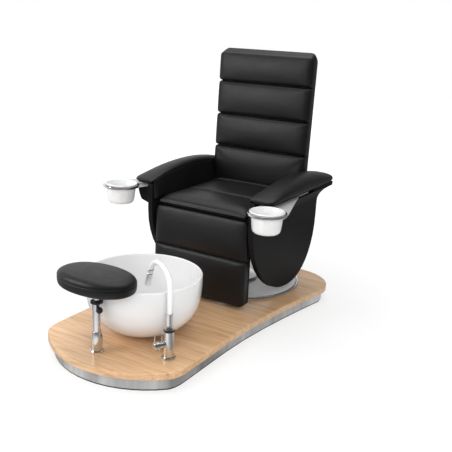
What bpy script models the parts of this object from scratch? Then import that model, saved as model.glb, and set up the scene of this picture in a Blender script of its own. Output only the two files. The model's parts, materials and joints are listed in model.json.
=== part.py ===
import math

import bmesh
import bpy
from mathutils import Matrix, Vector

# Shared fits
GAP = 0.0003
SLIDE_CLEARANCE = 0.0003

# Platform
PLATFORM_HALF_LENGTH = 0.775
PLATFORM_FRONT_RADIUS = 0.44
PLATFORM_FRONT_HALF_WIDTH = 0.347
PLATFORM_FLARE = 0.146
PLATFORM_FLARE_START = -0.18
PLATFORM_REAR_CORNER = 0.195
BOARD_TOP = 0.085
BOARD_THICKNESS = 0.030
BOARD_EDGE = 0.003
PLINTH_INSET = 0.022
PLINTH_WALL = 0.025
FOOT_STRIP_HEIGHT = 0.006

# Chair base
SWIVEL_Y = 0.438
DISC_RADIUS = 0.33
DISC_HEIGHT = 0.010
COLUMN_RADIUS = 0.050
COLUMN_TOP = 0.360
SPINDLE_RADIUS = 0.031
TURNTABLE_RADIUS = 0.120
TURNTABLE_THICKNESS = 0.012

# Foot basin
BASIN_Y = 0.395 - PLATFORM_HALF_LENGTH
BASIN_RADIUS = 0.250
BASIN_RIM = 0.353
BASIN_WALL = 0.012
BASIN_FOOT_RADIUS = 0.042
BASIN_SHOULDER = 3.6
BASIN_BELLY = 1.6
DRAIN_FLANGE_RADIUS = 0.036
DRAIN_PIPE_RADIUS = 0.0215
DRAIN_BORE = 0.0185
DRAIN_END = 0.018

# Tap
TAP_X = 0.243
TAP_Y = BASIN_Y - 0.155
TAP_FLANGE_RADIUS = 0.030
TAP_FLANGE_HEIGHT = 0.008
TAP_RADIUS = 0.0220
TAP_TOP = 0.203
TAP_SHANK_RADIUS = 0.012
TAP_SHANK_END = 0.028
SPIGOT_RADIUS = 0.0100
SPIGOT_DEPTH = 0.034
SEAL_HEIGHT = 0.006
VALVE_Z = 0.148
VALVE_HEADING = 243.0
VALVE_RADIUS = 0.0140
VALVE_REACH = 0.045
LEVER_CAP_RADIUS = 0.0165
LEVER_CAP_LENGTH = 0.022
LEVER_PIN_RADIUS = 0.0024
LEVER_PIN_TOP = 0.192
LEVER_SPINDLE_RADIUS = 0.006
DIVERTER_REACH = 0.031
DIVERTER_RADIUS = 0.0024
DIVERTER_TOP = 0.204
COLLAR_TOP = 0.229
SLEEVE_RADIUS = 0.0142
SLEEVE_TOP = 0.278
SPOUT_RADIUS = 0.0110
SPOUT_BORE = 0.0078
SPOUT_BEND_START = 0.385
SPOUT_REACH = 0.212
SPOUT_END = 0.394
SPOUT_RISE = 0.075
SPOUT_FALL = 0.090
NOZZLE_LEAN = 24.0
NOZZLE_LENGTH = 0.094
NOZZLE_RADIUS = 0.0125

# Footrest
POST_X = -0.028
POST_Y = BASIN_Y - 0.275
POST_FLANGE_RADIUS = 0.029
POST_FLANGE_HEIGHT = 0.005
LOWER_TUBE_RADIUS = 0.0235
LOWER_TUBE_TOP = 0.171
LOWER_TUBE_NECK = 0.0190
LOWER_TUBE_TAPER = 0.026
MIDDLE_TUBE_RADIUS = 0.0165
MIDDLE_TUBE_TOP = 0.292
STEM_RADIUS = 0.0125
STEM_BOTTOM = 0.150
COLLAR_RADIUS = 0.0195
COLLAR_BOTTOM = 0.263
BUSH_RADIUS = 0.0255
BUSH_HEIGHT = 0.013
PAD_BOTTOM = 0.361
PAD_HEIGHT = 0.060
PAD_HALF_LENGTH = 0.180
PAD_HALF_DEPTH = 0.116
PAD_ROUNDNESS = 2.16
PLATE_HALF_LENGTH = 0.140
PLATE_THICKNESS = 0.006
KNOB_HEADING = -31.5
KNOB_Z = 0.276
KNOB_RADIUS = 0.0138
KNOB_REACH = 0.036
KNOB_SCREW_RADIUS = 0.004

# Seat
FRAME_HALF_WIDTH = 0.262
FRAME_FRONT = 0.118
FRAME_REAR = 0.600
FRAME_TOP = 0.4865
FRAME_RAIL = 0.045
FRAME_PLATE = 0.008
SEAT_HALF_WIDTH = 0.2455
SEAT_FRONT = 0.046
SEAT_SPLIT = 0.270
SEAT_REAR = 0.566
SEAT_TOP = 0.578
SEAT_CROWN = 0.007
SEAT_BEAD = 0.034
SEAT_NOSE_BOTTOM = 0.546

# Side panels and armrests
PANEL_INNER = 0.270
PANEL_OUTER = 0.295
PANEL_FRONT = 0.028
PANEL_LOW_Y = 0.450
PANEL_LOW_Z = 0.113
PANEL_REAR = 0.742
PANEL_FLARE_START = 0.500
PANEL_FLARE = 0.080
BLOCK_WIDTH = 0.064
BLOCK_LOW = 0.528
BLOCK_REAR = 0.200
SLOT_FLOOR = 0.606
SLOT_END = 0.500
SLOT_RAMP = 0.012
ARM_SEAT_Z = 0.622
ARM_BOARD_THICKNESS = 0.008
ARM_INNER = 0.2755
ARM_OUTER = 0.388
ARM_FRONT = 0.022
ARM_REAR = 0.748
ARM_FRONT_RISE = 0.012
ARM_ARCH = 0.068
ARM_REAR_RISE = 0.026
INNER_PAD_FACE = 0.2485
INNER_PAD_FRONT = 0.036
INNER_PAD_FRONT_LOW = 0.552
INNER_PAD_STEP = 0.112
INNER_PAD_REAR = 0.560
INNER_PAD_LIP = 0.007
INNER_PAD_DROP = 0.012

# Manicure bowls
BOWL_X = 0.400
BOWL_Y = -0.050
RING_INNER = 0.0740
RING_OUTER = 0.0880
RING_BOTTOM = 0.607
RING_HEIGHT = 0.012
BRACKET_BOTTOM = 0.6075
BRACKET_THICKNESS = 0.005
BRACKET_PIVOT_X = 0.335
BRACKET_PIVOT_Y = 0.450
BRACKET_END_RADIUS = 0.030
BRACKET_BOLT_RADIUS = 0.006
BRACKET_BOLT_HEAD = 0.011
BOWL_LIP_RADIUS = 0.0785
BOWL_RADIUS = 0.0725
BOWL_FOOT_RADIUS = 0.0635
BOWL_DEPTH = 0.100
BOWL_WALL = 0.004
BOWL_LIP_HEIGHT = 0.007

# Backrest
BACK_HINGE_Y = 0.643
BACK_HINGE_Z = 0.556
BACK_BARREL_RADIUS = 0.016
BACK_BARREL_HALF_LENGTH = 0.220
ROD_RADIUS = 0.0075
ROD_SEAT_DEPTH = 0.011
BACK_LEAN = 2.0
BACK_HALF_WIDTH = 0.262
BACK_CUSHION_HALF_WIDTH = 0.266
BACK_FRONT = 0.573
BACK_CUSHION_DEPTH = 0.052
BACK_SHELL_DEPTH = 0.044
BACK_BOTTOM = 0.580
BACK_TOP = 1.270
BACK_CORNER = 0.045
BACK_GROOVE = 0.020
BACK_CHANNELS = 4

# Leg rest
LEG_HINGE_Y = 0.088
LEG_HINGE_Z = 0.523
LEG_BARREL_RADIUS = 0.013
LEG_BARREL_HALF_LENGTH = 0.225
LEG_HALF_WIDTH = 0.261
LEG_FRONT = 0.030
LEG_CUSHION_DEPTH = 0.045
LEG_BOARD_DEPTH = 0.024
LEG_TOP = 0.518
LEG_GROOVE_Z = 0.330
LEG_BOTTOM = 0.102
LEG_GROOVE = 0.018

SIDES = {"left": 1.0, "right": -1.0}

OAK = ((0.62, 0.42, 0.24), 0.0, 0.45)
STEEL = ((0.62, 0.63, 0.65), 1.0, 0.32)
CHROME = ((0.80, 0.81, 0.83), 1.0, 0.08)
LEATHER = ((0.018, 0.018, 0.019), 0.0, 0.42)
BLACK_BOARD = ((0.022, 0.022, 0.023), 0.0, 0.55)
RUBBER = ((0.02, 0.02, 0.02), 0.0, 0.7)
CERAMIC = ((0.86, 0.86, 0.85), 0.0, 0.12)
WHITE_PLASTIC = ((0.84, 0.84, 0.83), 0.0, 0.25)


def clear_scene():
    for item in list(bpy.data.objects):
        bpy.data.objects.remove(item, do_unlink=True)


def look_material(name, look):
    colour, metallic, rough = look
    material = bpy.data.materials.new(name + "_material")
    material.use_nodes = True
    shader = material.node_tree.nodes["Principled BSDF"]
    shader.inputs["Base Color"].default_value = (colour[0], colour[1], colour[2], 1.0)
    shader.inputs["Metallic"].default_value = metallic
    shader.inputs["Roughness"].default_value = rough
    material.diffuse_color = (colour[0], colour[1], colour[2], 1.0)
    return material


def smooth_round_faces(bm, limit=38.0):
    for face in bm.faces:
        face.smooth = True
    for edge in bm.edges:
        if len(edge.link_faces) == 2:
            edge.smooth = edge.calc_face_angle(0.0) < math.radians(limit)


def finish(name, bm, look, pivot=(0.0, 0.0, 0.0)):
    bmesh.ops.recalc_face_normals(bm, faces=bm.faces[:])
    smooth_round_faces(bm)
    bmesh.ops.translate(bm, verts=bm.verts[:], vec=-Vector(pivot))
    mesh = bpy.data.meshes.new(name)
    bm.to_mesh(mesh)
    bm.free()
    item = bpy.data.objects.new(name, mesh)
    item.location = pivot
    bpy.context.scene.collection.objects.link(item)
    mesh.materials.append(look_material(name, look))
    return item


def combine(item, tool_bm, operation):
    bmesh.ops.recalc_face_normals(tool_bm, faces=tool_bm.faces[:])
    mesh = bpy.data.meshes.new("tool")
    tool_bm.to_mesh(mesh)
    tool_bm.free()
    tool = bpy.data.objects.new("tool", mesh)
    bpy.context.scene.collection.objects.link(tool)
    step = item.modifiers.new("combine", "BOOLEAN")
    step.operation = operation
    step.solver = "EXACT"
    step.object = tool
    bpy.context.view_layer.update()
    graph = bpy.context.evaluated_depsgraph_get()
    result = bpy.data.meshes.new_from_object(item.evaluated_get(graph))
    item.modifiers.remove(step)
    old = item.data
    material = old.materials[0]
    item.data = result
    result.name = item.name
    result.materials.clear()
    result.materials.append(material)
    bpy.data.meshes.remove(old)
    bpy.data.objects.remove(tool, do_unlink=True)
    bm = bmesh.new()
    bm.from_mesh(result)
    bmesh.ops.remove_doubles(bm, verts=bm.verts[:], dist=0.00001)
    bmesh.ops.dissolve_degenerate(bm, edges=bm.edges[:], dist=0.00001)
    smooth_round_faces(bm)
    bm.to_mesh(result)
    bm.free()


def add_loft(bm, rings, capped=True, looped=False):
    rows = []
    for ring in rings:
        if len(ring) == 1:
            rows.append([bm.verts.new(ring[0])])
        else:
            rows.append([bm.verts.new(point) for point in ring])
    pairs = list(zip(rows, rows[1:]))
    if looped:
        pairs.append((rows[-1], rows[0]))
    for low, high in pairs:
        count = max(len(low), len(high))
        for i in range(count):
            j = (i + 1) % count
            if len(low) == 1:
                bm.faces.new((low[0], high[i], high[j]))
            elif len(high) == 1:
                bm.faces.new((low[i], low[j], high[0]))
            else:
                bm.faces.new((low[i], low[j], high[j], high[i]))
    if capped and not looped:
        for row in (rows[0], rows[-1]):
            if len(row) > 2:
                bm.faces.new(row)
    return bm


def loft(rings, capped=True, looped=False):
    return add_loft(bmesh.new(), rings, capped, looped)


def turned(profile, segments, matrix=None):
    rings = []
    for radius, height in profile:
        if radius < 1e-7:
            rings.append([Vector((0.0, 0.0, height))])
        else:
            ring = []
            for i in range(segments):
                angle = 2.0 * math.pi * i / segments
                ring.append(Vector((radius * math.cos(angle), radius * math.sin(angle), height)))
            rings.append(ring)
    hollow = all(len(ring) > 1 for ring in rings)
    bm = loft(rings, capped=False, looped=hollow)
    if matrix is not None:
        bmesh.ops.transform(bm, matrix=matrix, verts=bm.verts[:])
    return bm


def at(x, y, z=0.0):
    return Matrix.Translation((x, y, z))


def aimed(origin, direction):
    turn = Vector((0.0, 0.0, 1.0)).rotation_difference(Vector(direction)).to_matrix().to_4x4()
    return Matrix.Translation(origin) @ turn


def rod(radius, start, end, segments=20):
    start = Vector(start)
    axis = Vector(end) - start
    profile = [(0.0, 0.0), (radius, 0.0), (radius, axis.length), (0.0, axis.length)]
    return turned(profile, segments, aimed(start, axis.normalized()))


def rounded_rod(radius, start, end, edge, segments=20):
    start = Vector(start)
    axis = Vector(end) - start
    length = axis.length
    profile = [(0.0, 0.0), (radius - edge, 0.0), (radius, edge), (radius, length - edge)]
    profile += [(radius - edge, length), (0.0, length)]
    return turned(profile, segments, aimed(start, axis.normalized()))


def box_cells(xs, ys, zs, filled):
    bm = bmesh.new()
    verts = {}

    def corner(i, j, k):
        key = (i, j, k)
        if key not in verts:
            verts[key] = bm.verts.new((xs[i], ys[j], zs[k]))
        return verts[key]

    def used(i, j, k):
        inside = 0 <= i < len(xs) - 1 and 0 <= j < len(ys) - 1 and 0 <= k < len(zs) - 1
        return inside and filled(i, j, k)

    for i in range(len(xs) - 1):
        for j in range(len(ys) - 1):
            for k in range(len(zs) - 1):
                if not used(i, j, k):
                    continue
                for axis in range(3):
                    for step in (0, 1):
                        other = [i, j, k]
                        other[axis] += 2 * step - 1
                        if used(*other):
                            continue
                        loop = []
                        for a, b in ((0, 0), (1, 0), (1, 1), (0, 1)):
                            place = [i, j, k]
                            place[axis] += step
                            place[(axis + 1) % 3] += a
                            place[(axis + 2) % 3] += b
                            loop.append(corner(*place))
                        bm.faces.new(loop)
    return bm


def power_curve(t, sharpness, end=None):
    return max(0.0, 1.0 - abs(t) ** sharpness) ** (1.0 / (end or sharpness))


# Platform outline, seen from above
def platform_side(y):
    run = max(0.0, y - PLATFORM_FLARE_START)
    return PLATFORM_FRONT_HALF_WIDTH + PLATFORM_FLARE * run ** 1.5


def platform_half():
    front = -PLATFORM_HALF_LENGTH
    centre = front + PLATFORM_FRONT_RADIUS
    corner_angle = math.asin(PLATFORM_FRONT_HALF_WIDTH / PLATFORM_FRONT_RADIUS)
    points = []
    arc_steps = 7
    for i in range(arc_steps + 1):
        angle = corner_angle * 0.90 * i / arc_steps
        points.append((PLATFORM_FRONT_RADIUS * math.sin(angle), centre - PLATFORM_FRONT_RADIUS * math.cos(angle)))
    start = Vector(points[-1])
    corner_y = centre - PLATFORM_FRONT_RADIUS * math.cos(corner_angle)
    knee = Vector((PLATFORM_FRONT_HALF_WIDTH, corner_y))
    end = Vector((PLATFORM_FRONT_HALF_WIDTH, corner_y + 0.070))
    for i in range(1, 5):
        t = i / 4.0
        point = start * (1.0 - t) ** 2 + knee * 2.0 * t * (1.0 - t) + end * t * t
        points.append((point.x, point.y))
    rear_start = PLATFORM_HALF_LENGTH - PLATFORM_REAR_CORNER
    side_steps = 7
    for i in range(1, side_steps + 1):
        y = end.y + (rear_start - end.y) * i / side_steps
        points.append((platform_side(y), y))
    wide = platform_side(rear_start)
    flat = wide - PLATFORM_REAR_CORNER * 1.10
    for i in range(1, 8):
        angle = 0.5 * math.pi * i / 7.0
        x = flat + (wide - flat) * math.cos(angle)
        points.append((x, rear_start + PLATFORM_REAR_CORNER * math.sin(angle)))
    points.append((flat * 0.5, PLATFORM_HALF_LENGTH))
    points.append((0.0, PLATFORM_HALF_LENGTH))
    return points


def platform_outline(inset):
    half = platform_half()
    loop = [Vector(point) for point in half]
    loop += [Vector((-point[0], point[1])) for point in reversed(half[1:-1])]
    count = len(loop)
    moved = []
    for i in range(count):
        tangent = (loop[(i + 1) % count] - loop[i - 1]).normalized()
        inward = Vector((-tangent.y, tangent.x))
        moved.append(loop[i] + inward * inset)
    return moved


def outline_ring(inset, height):
    return [Vector((point.x, point.y, height)) for point in platform_outline(inset)]


def build_platform():
    low = BOARD_TOP - BOARD_THICKNESS
    rings = [
        outline_ring(BOARD_EDGE, low),
        outline_ring(0.0, low + BOARD_EDGE),
        outline_ring(0.0, BOARD_TOP - BOARD_EDGE),
        outline_ring(BOARD_EDGE, BOARD_TOP),
    ]
    board = finish("platform_board", loft(rings), OAK)
    hole = DRAIN_PIPE_RADIUS + 0.001
    combine(board, rod(hole, (0.0, BASIN_Y, low - 0.01), (0.0, BASIN_Y, BOARD_TOP + 0.01), 28), "DIFFERENCE")
    hole = TAP_SHANK_RADIUS + 0.001
    combine(board, rod(hole, (TAP_X, TAP_Y, low - 0.01), (TAP_X, TAP_Y, BOARD_TOP + 0.01), 20), "DIFFERENCE")
    top = low - GAP
    bottom = FOOT_STRIP_HEIGHT + GAP
    inner = PLINTH_INSET + PLINTH_WALL
    rings = [
        outline_ring(PLINTH_INSET, bottom),
        outline_ring(PLINTH_INSET, top),
        outline_ring(inner, top),
        outline_ring(inner, bottom),
    ]
    finish("plinth_band", loft(rings, looped=True), STEEL)
    outer = PLINTH_INSET + 0.002
    inner -= 0.002
    rings = [
        outline_ring(outer, 0.0),
        outline_ring(outer, FOOT_STRIP_HEIGHT),
        outline_ring(inner, FOOT_STRIP_HEIGHT),
        outline_ring(inner, 0.0),
    ]
    finish("plinth_foot_strip", loft(rings, looped=True), RUBBER)


def build_chair_base():
    low = BOARD_TOP + GAP
    top = low + DISC_HEIGHT
    groove = DISC_RADIUS - 0.016
    profile = [
        (0.0, low),
        (DISC_RADIUS - 0.002, low),
        (DISC_RADIUS, low + 0.002),
        (DISC_RADIUS, top - 0.004),
        (DISC_RADIUS - 0.0015, top - 0.001),
        (DISC_RADIUS - 0.004, top),
        (groove + 0.004, top),
        (groove + 0.001, top - 0.002),
        (groove - 0.002, top),
        (COLUMN_RADIUS + 0.075, top + 0.003),
        (0.0, top + 0.003),
    ]
    finish("base_disc", turned(profile, 44, at(0.0, SWIVEL_Y)), CHROME)
    foot = top + 0.003 + GAP
    bore = SPINDLE_RADIUS + SLIDE_CLEARANCE
    flange = COLUMN_RADIUS + 0.060
    profile = [
        (bore, foot + 0.015),
        (bore, COLUMN_TOP),
        (COLUMN_RADIUS, COLUMN_TOP),
        (COLUMN_RADIUS, foot + 0.030),
        (COLUMN_RADIUS + 0.008, foot + 0.018),
        (flange - 0.003, foot + 0.012),
        (flange, foot + 0.009),
        (flange, foot),
        (bore, foot),
    ]
    finish("pedestal_column", turned(profile, 24, at(0.0, SWIVEL_Y)), STEEL)
    plate_low = COLUMN_TOP + GAP
    plate_top = plate_low + TURNTABLE_THICKNESS
    profile = [
        (0.0, foot + 0.040),
        (SPINDLE_RADIUS - 0.002, foot + 0.040),
        (SPINDLE_RADIUS, foot + 0.042),
        (SPINDLE_RADIUS, plate_low),
        (TURNTABLE_RADIUS - 0.002, plate_low),
        (TURNTABLE_RADIUS, plate_low + 0.002),
        (TURNTABLE_RADIUS, plate_top),
        (0.0, plate_top),
    ]
    pivot = (0.0, SWIVEL_Y, plate_low)
    finish("turntable", turned(profile, 24, at(0.0, SWIVEL_Y)), STEEL, pivot)


def basin_radius(height):
    low = BOARD_TOP + GAP
    t = (BASIN_RIM - height) / (BASIN_RIM - low)
    return BASIN_FOOT_RADIUS + (BASIN_RADIUS - BASIN_FOOT_RADIUS) * power_curve(t, BASIN_SHOULDER, BASIN_BELLY)


def basin_outside(share):
    low = BOARD_TOP + GAP
    height = low + (BASIN_RIM - low) * (1.0 - math.sin(0.5 * math.pi * (1.0 - share)))
    return Vector((basin_radius(height), height))


def basin_inside(share):
    step = 0.01
    along = (basin_outside(share + step) - basin_outside(share - step)).normalized()
    return basin_outside(share) + Vector((-along.y, along.x)) * BASIN_WALL


def build_basin():
    low = BOARD_TOP + GAP
    steps = 9
    outside = [basin_outside(i / steps) for i in range(steps)]
    outside.append((BASIN_RADIUS, BASIN_RIM - 0.006))
    floor = low + BASIN_WALL
    inside = [basin_inside(i / steps) for i in reversed(range(1, steps))]
    hole = DRAIN_PIPE_RADIUS + 0.0005
    rim = [
        (BASIN_RADIUS - 0.0015, BASIN_RIM - 0.002),
        (BASIN_RADIUS - 0.006, BASIN_RIM),
        (BASIN_RADIUS - 0.0105, BASIN_RIM - 0.002),
    ]
    profile = [(hole, low)] + outside + rim + inside + [(BASIN_FOOT_RADIUS * 0.9, floor), (hole, floor)]
    finish("foot_basin", turned(profile, 40, at(0.0, BASIN_Y)), CERAMIC)
    seat = floor + GAP
    profile = [
        (DRAIN_BORE, DRAIN_END),
        (DRAIN_PIPE_RADIUS - 0.001, DRAIN_END),
        (DRAIN_PIPE_RADIUS, DRAIN_END + 0.001),
        (DRAIN_PIPE_RADIUS, seat),
        (DRAIN_FLANGE_RADIUS, seat),
        (DRAIN_FLANGE_RADIUS - 0.001, seat + 0.002),
        (DRAIN_PIPE_RADIUS, seat + 0.004),
        (DRAIN_BORE, seat + 0.001),
    ]
    finish("basin_drain", turned(profile, 20, at(0.0, BASIN_Y)), CHROME)


def heading(degrees):
    angle = math.radians(degrees)
    return Vector((math.cos(angle), math.sin(angle), 0.0))


def build_tap():
    low = BOARD_TOP + GAP
    top = low + TAP_FLANGE_HEIGHT
    bore = TAP_SHANK_RADIUS + 0.0005
    profile = [
        (bore, low),
        (TAP_FLANGE_RADIUS, low),
        (TAP_FLANGE_RADIUS, top - 0.003),
        (TAP_FLANGE_RADIUS - 0.003, top),
        (bore, top),
    ]
    finish("tap_flange", turned(profile, 20, at(TAP_X, TAP_Y)), CHROME)
    foot = top + GAP
    spigot_bore = SPIGOT_RADIUS + SLIDE_CLEARANCE
    profile = [
        (0.0, TAP_SHANK_END),
        (TAP_SHANK_RADIUS - 0.001, TAP_SHANK_END),
        (TAP_SHANK_RADIUS, TAP_SHANK_END + 0.001),
        (TAP_SHANK_RADIUS, foot),
        (TAP_RADIUS, foot),
        (TAP_RADIUS, TAP_TOP - 0.0015),
        (TAP_RADIUS - 0.0015, TAP_TOP),
        (spigot_bore, TAP_TOP),
        (spigot_bore, TAP_TOP - SPIGOT_DEPTH - 0.002),
        (0.0, TAP_TOP - SPIGOT_DEPTH - 0.002),
    ]
    body = finish("tap_body", turned(profile, 20, at(TAP_X, TAP_Y)), CHROME)
    out = heading(VALVE_HEADING)
    valve = Vector((TAP_X, TAP_Y, VALVE_Z))
    combine(body, rounded_rod(VALVE_RADIUS, valve + out * 0.013, valve + out * VALVE_REACH, 0.0012, 18), "UNION")
    bore = LEVER_SPINDLE_RADIUS + SLIDE_CLEARANCE
    combine(body, rod(bore, valve + out * 0.0375, valve + out * (VALVE_REACH + 0.01), 16), "DIFFERENCE")
    pin_seat = valve + out * DIVERTER_REACH
    hole = DIVERTER_RADIUS + SLIDE_CLEARANCE
    hole_low = pin_seat + Vector((0.0, 0.0, VALVE_RADIUS - 0.010))
    combine(body, rod(hole, hole_low, pin_seat + Vector((0.0, 0.0, VALVE_RADIUS + 0.01)), 12), "DIFFERENCE")

    cap_start = valve + out * (VALVE_REACH + GAP)
    groove = LEVER_CAP_RADIUS - 0.002
    length = LEVER_CAP_LENGTH
    profile = [
        (0.0, -0.006),
        (LEVER_SPINDLE_RADIUS, -0.006),
        (LEVER_SPINDLE_RADIUS, 0.0),
        (LEVER_CAP_RADIUS - 0.001, 0.0),
        (LEVER_CAP_RADIUS, 0.001),
        (LEVER_CAP_RADIUS, length * 0.40),
        (groove, length * 0.44),
        (groove, length * 0.56),
        (LEVER_CAP_RADIUS, length * 0.60),
        (LEVER_CAP_RADIUS, length - 0.0015),
        (LEVER_CAP_RADIUS - 0.0015, length),
        (0.0, length),
    ]
    lever = finish("tap_lever", turned(profile, 18, aimed(cap_start, out)), CHROME, cap_start)
    pin_foot = cap_start + out * (length * 0.80)
    pin_top = Vector((pin_foot.x, pin_foot.y, LEVER_PIN_TOP))
    pin_low = pin_foot + Vector((0.0, 0.0, LEVER_CAP_RADIUS - 0.006))
    combine(lever, rounded_rod(LEVER_PIN_RADIUS, pin_low, pin_top, 0.0008, 12), "UNION")

    base = hole_low + Vector((0.0, 0.0, 0.0015))
    profile = [
        (0.0, 0.0),
        (DIVERTER_RADIUS, 0.0),
        (DIVERTER_RADIUS, DIVERTER_TOP - base.z - 0.008),
        (DIVERTER_RADIUS + 0.0012, DIVERTER_TOP - base.z - 0.006),
        (DIVERTER_RADIUS + 0.0012, DIVERTER_TOP - base.z - 0.001),
        (DIVERTER_RADIUS, DIVERTER_TOP - base.z),
        (0.0, DIVERTER_TOP - base.z),
    ]
    finish("diverter_pin", turned(profile, 12, Matrix.Translation(base)), CHROME, base)

    seal_low = TAP_TOP + GAP
    seal_top = seal_low + SEAL_HEIGHT
    bore = SPIGOT_RADIUS + 0.001
    profile = [
        (bore, seal_low),
        (TAP_RADIUS - 0.0005, seal_low),
        (TAP_RADIUS + 0.0008, seal_low + 0.5 * SEAL_HEIGHT),
        (TAP_RADIUS - 0.0005, seal_top),
        (bore, seal_top),
    ]
    finish("tap_seal_ring", turned(profile, 20, at(TAP_X, TAP_Y)), RUBBER)
    build_spout(seal_top + GAP)


def spout_path():
    fall = math.radians(NOZZLE_LEAN)
    end_way = Vector((math.sin(fall), -math.cos(fall)))
    a = Vector((0.0, SPOUT_BEND_START))
    b = a + Vector((0.0, SPOUT_RISE))
    d = Vector((SPOUT_REACH, SPOUT_END))
    c = d - end_way * SPOUT_FALL
    path = [Vector((0.0, COLLAR_TOP + GAP)), Vector((0.0, SPOUT_BEND_START - 0.03))]
    steps = 11
    for i in range(steps + 1):
        t = i / steps
        s = 1.0 - t
        path.append(a * s ** 3 + b * 3.0 * t * s * s + c * 3.0 * t * t * s + d * t ** 3)
    return path, end_way


def build_spout(collar_low):
    pivot = (TAP_X, TAP_Y, collar_low)
    profile = [
        (0.0, TAP_TOP - SPIGOT_DEPTH),
        (SPIGOT_RADIUS, TAP_TOP - SPIGOT_DEPTH),
        (SPIGOT_RADIUS, collar_low),
        (TAP_RADIUS - 0.0025, collar_low),
        (TAP_RADIUS - 0.0040, collar_low + 0.006),
        (SLEEVE_RADIUS + 0.0006, COLLAR_TOP - 0.004),
        (SLEEVE_RADIUS + 0.0006, COLLAR_TOP),
        (0.0, COLLAR_TOP),
    ]
    finish("spout_collar", turned(profile, 20, at(TAP_X, TAP_Y)), CHROME, pivot)
    bore = SPOUT_RADIUS + GAP
    low = COLLAR_TOP + GAP
    profile = [
        (bore, low),
        (SLEEVE_RADIUS, low),
        (SLEEVE_RADIUS, SLEEVE_TOP - 0.001),
        (SLEEVE_RADIUS - 0.001, SLEEVE_TOP),
        (bore, SLEEVE_TOP),
    ]
    finish("spout_sleeve", turned(profile, 20, at(TAP_X, TAP_Y)), CHROME, pivot)
    path, end_way = spout_path()
    to_basin = Vector((-TAP_X, BASIN_Y - TAP_Y, 0.0)).normalized()
    across = to_basin.cross(Vector((0.0, 0.0, 1.0)))
    count = 12

    def ring(index, radius):
        here = path[index]
        before = path[max(0, index - 1)]
        after = path[min(len(path) - 1, index + 1)]
        way = (after - before).normalized()
        if index == len(path) - 1:
            way = end_way
        side = Vector((-way.y, way.x))
        centre = Vector((TAP_X, TAP_Y, 0.0)) + to_basin * here.x + Vector((0.0, 0.0, here.y))
        lift = to_basin * side.x + Vector((0.0, 0.0, side.y))
        points = []
        for i in range(count):
            angle = 2.0 * math.pi * i / count
            points.append(centre + (across * math.cos(angle) + lift * math.sin(angle)) * radius)
        return points

    order = range(len(path))
    rings = [ring(i, SPOUT_RADIUS) for i in order]
    rings += [ring(i, SPOUT_BORE) for i in reversed(order)]
    finish("spout_tube", loft(rings, looped=True), WHITE_PLASTIC, pivot)
    end = Vector((TAP_X, TAP_Y, 0.0)) + to_basin * path[-1].x + Vector((0.0, 0.0, path[-1].y))
    way = to_basin * end_way.x + Vector((0.0, 0.0, end_way.y))
    start = end + way * GAP
    length = NOZZLE_LENGTH
    bore = NOZZLE_RADIUS - 0.0035
    profile = [
        (SPOUT_BORE, 0.0),
        (NOZZLE_RADIUS - 0.001, 0.0),
        (NOZZLE_RADIUS, 0.0015),
        (NOZZLE_RADIUS, 0.020),
        (NOZZLE_RADIUS - 0.0018, 0.0215),
        (NOZZLE_RADIUS - 0.0018, 0.0235),
        (NOZZLE_RADIUS, 0.025),
        (NOZZLE_RADIUS + 0.0010, length * 0.62),
        (NOZZLE_RADIUS, length - 0.003),
        (NOZZLE_RADIUS - 0.002, length),
        (bore, length),
        (bore, length - 0.010),
        (SPOUT_BORE, length - 0.016),
    ]
    finish("spray_nozzle", turned(profile, 16, aimed(start, way)), CHROME, pivot)


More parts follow.
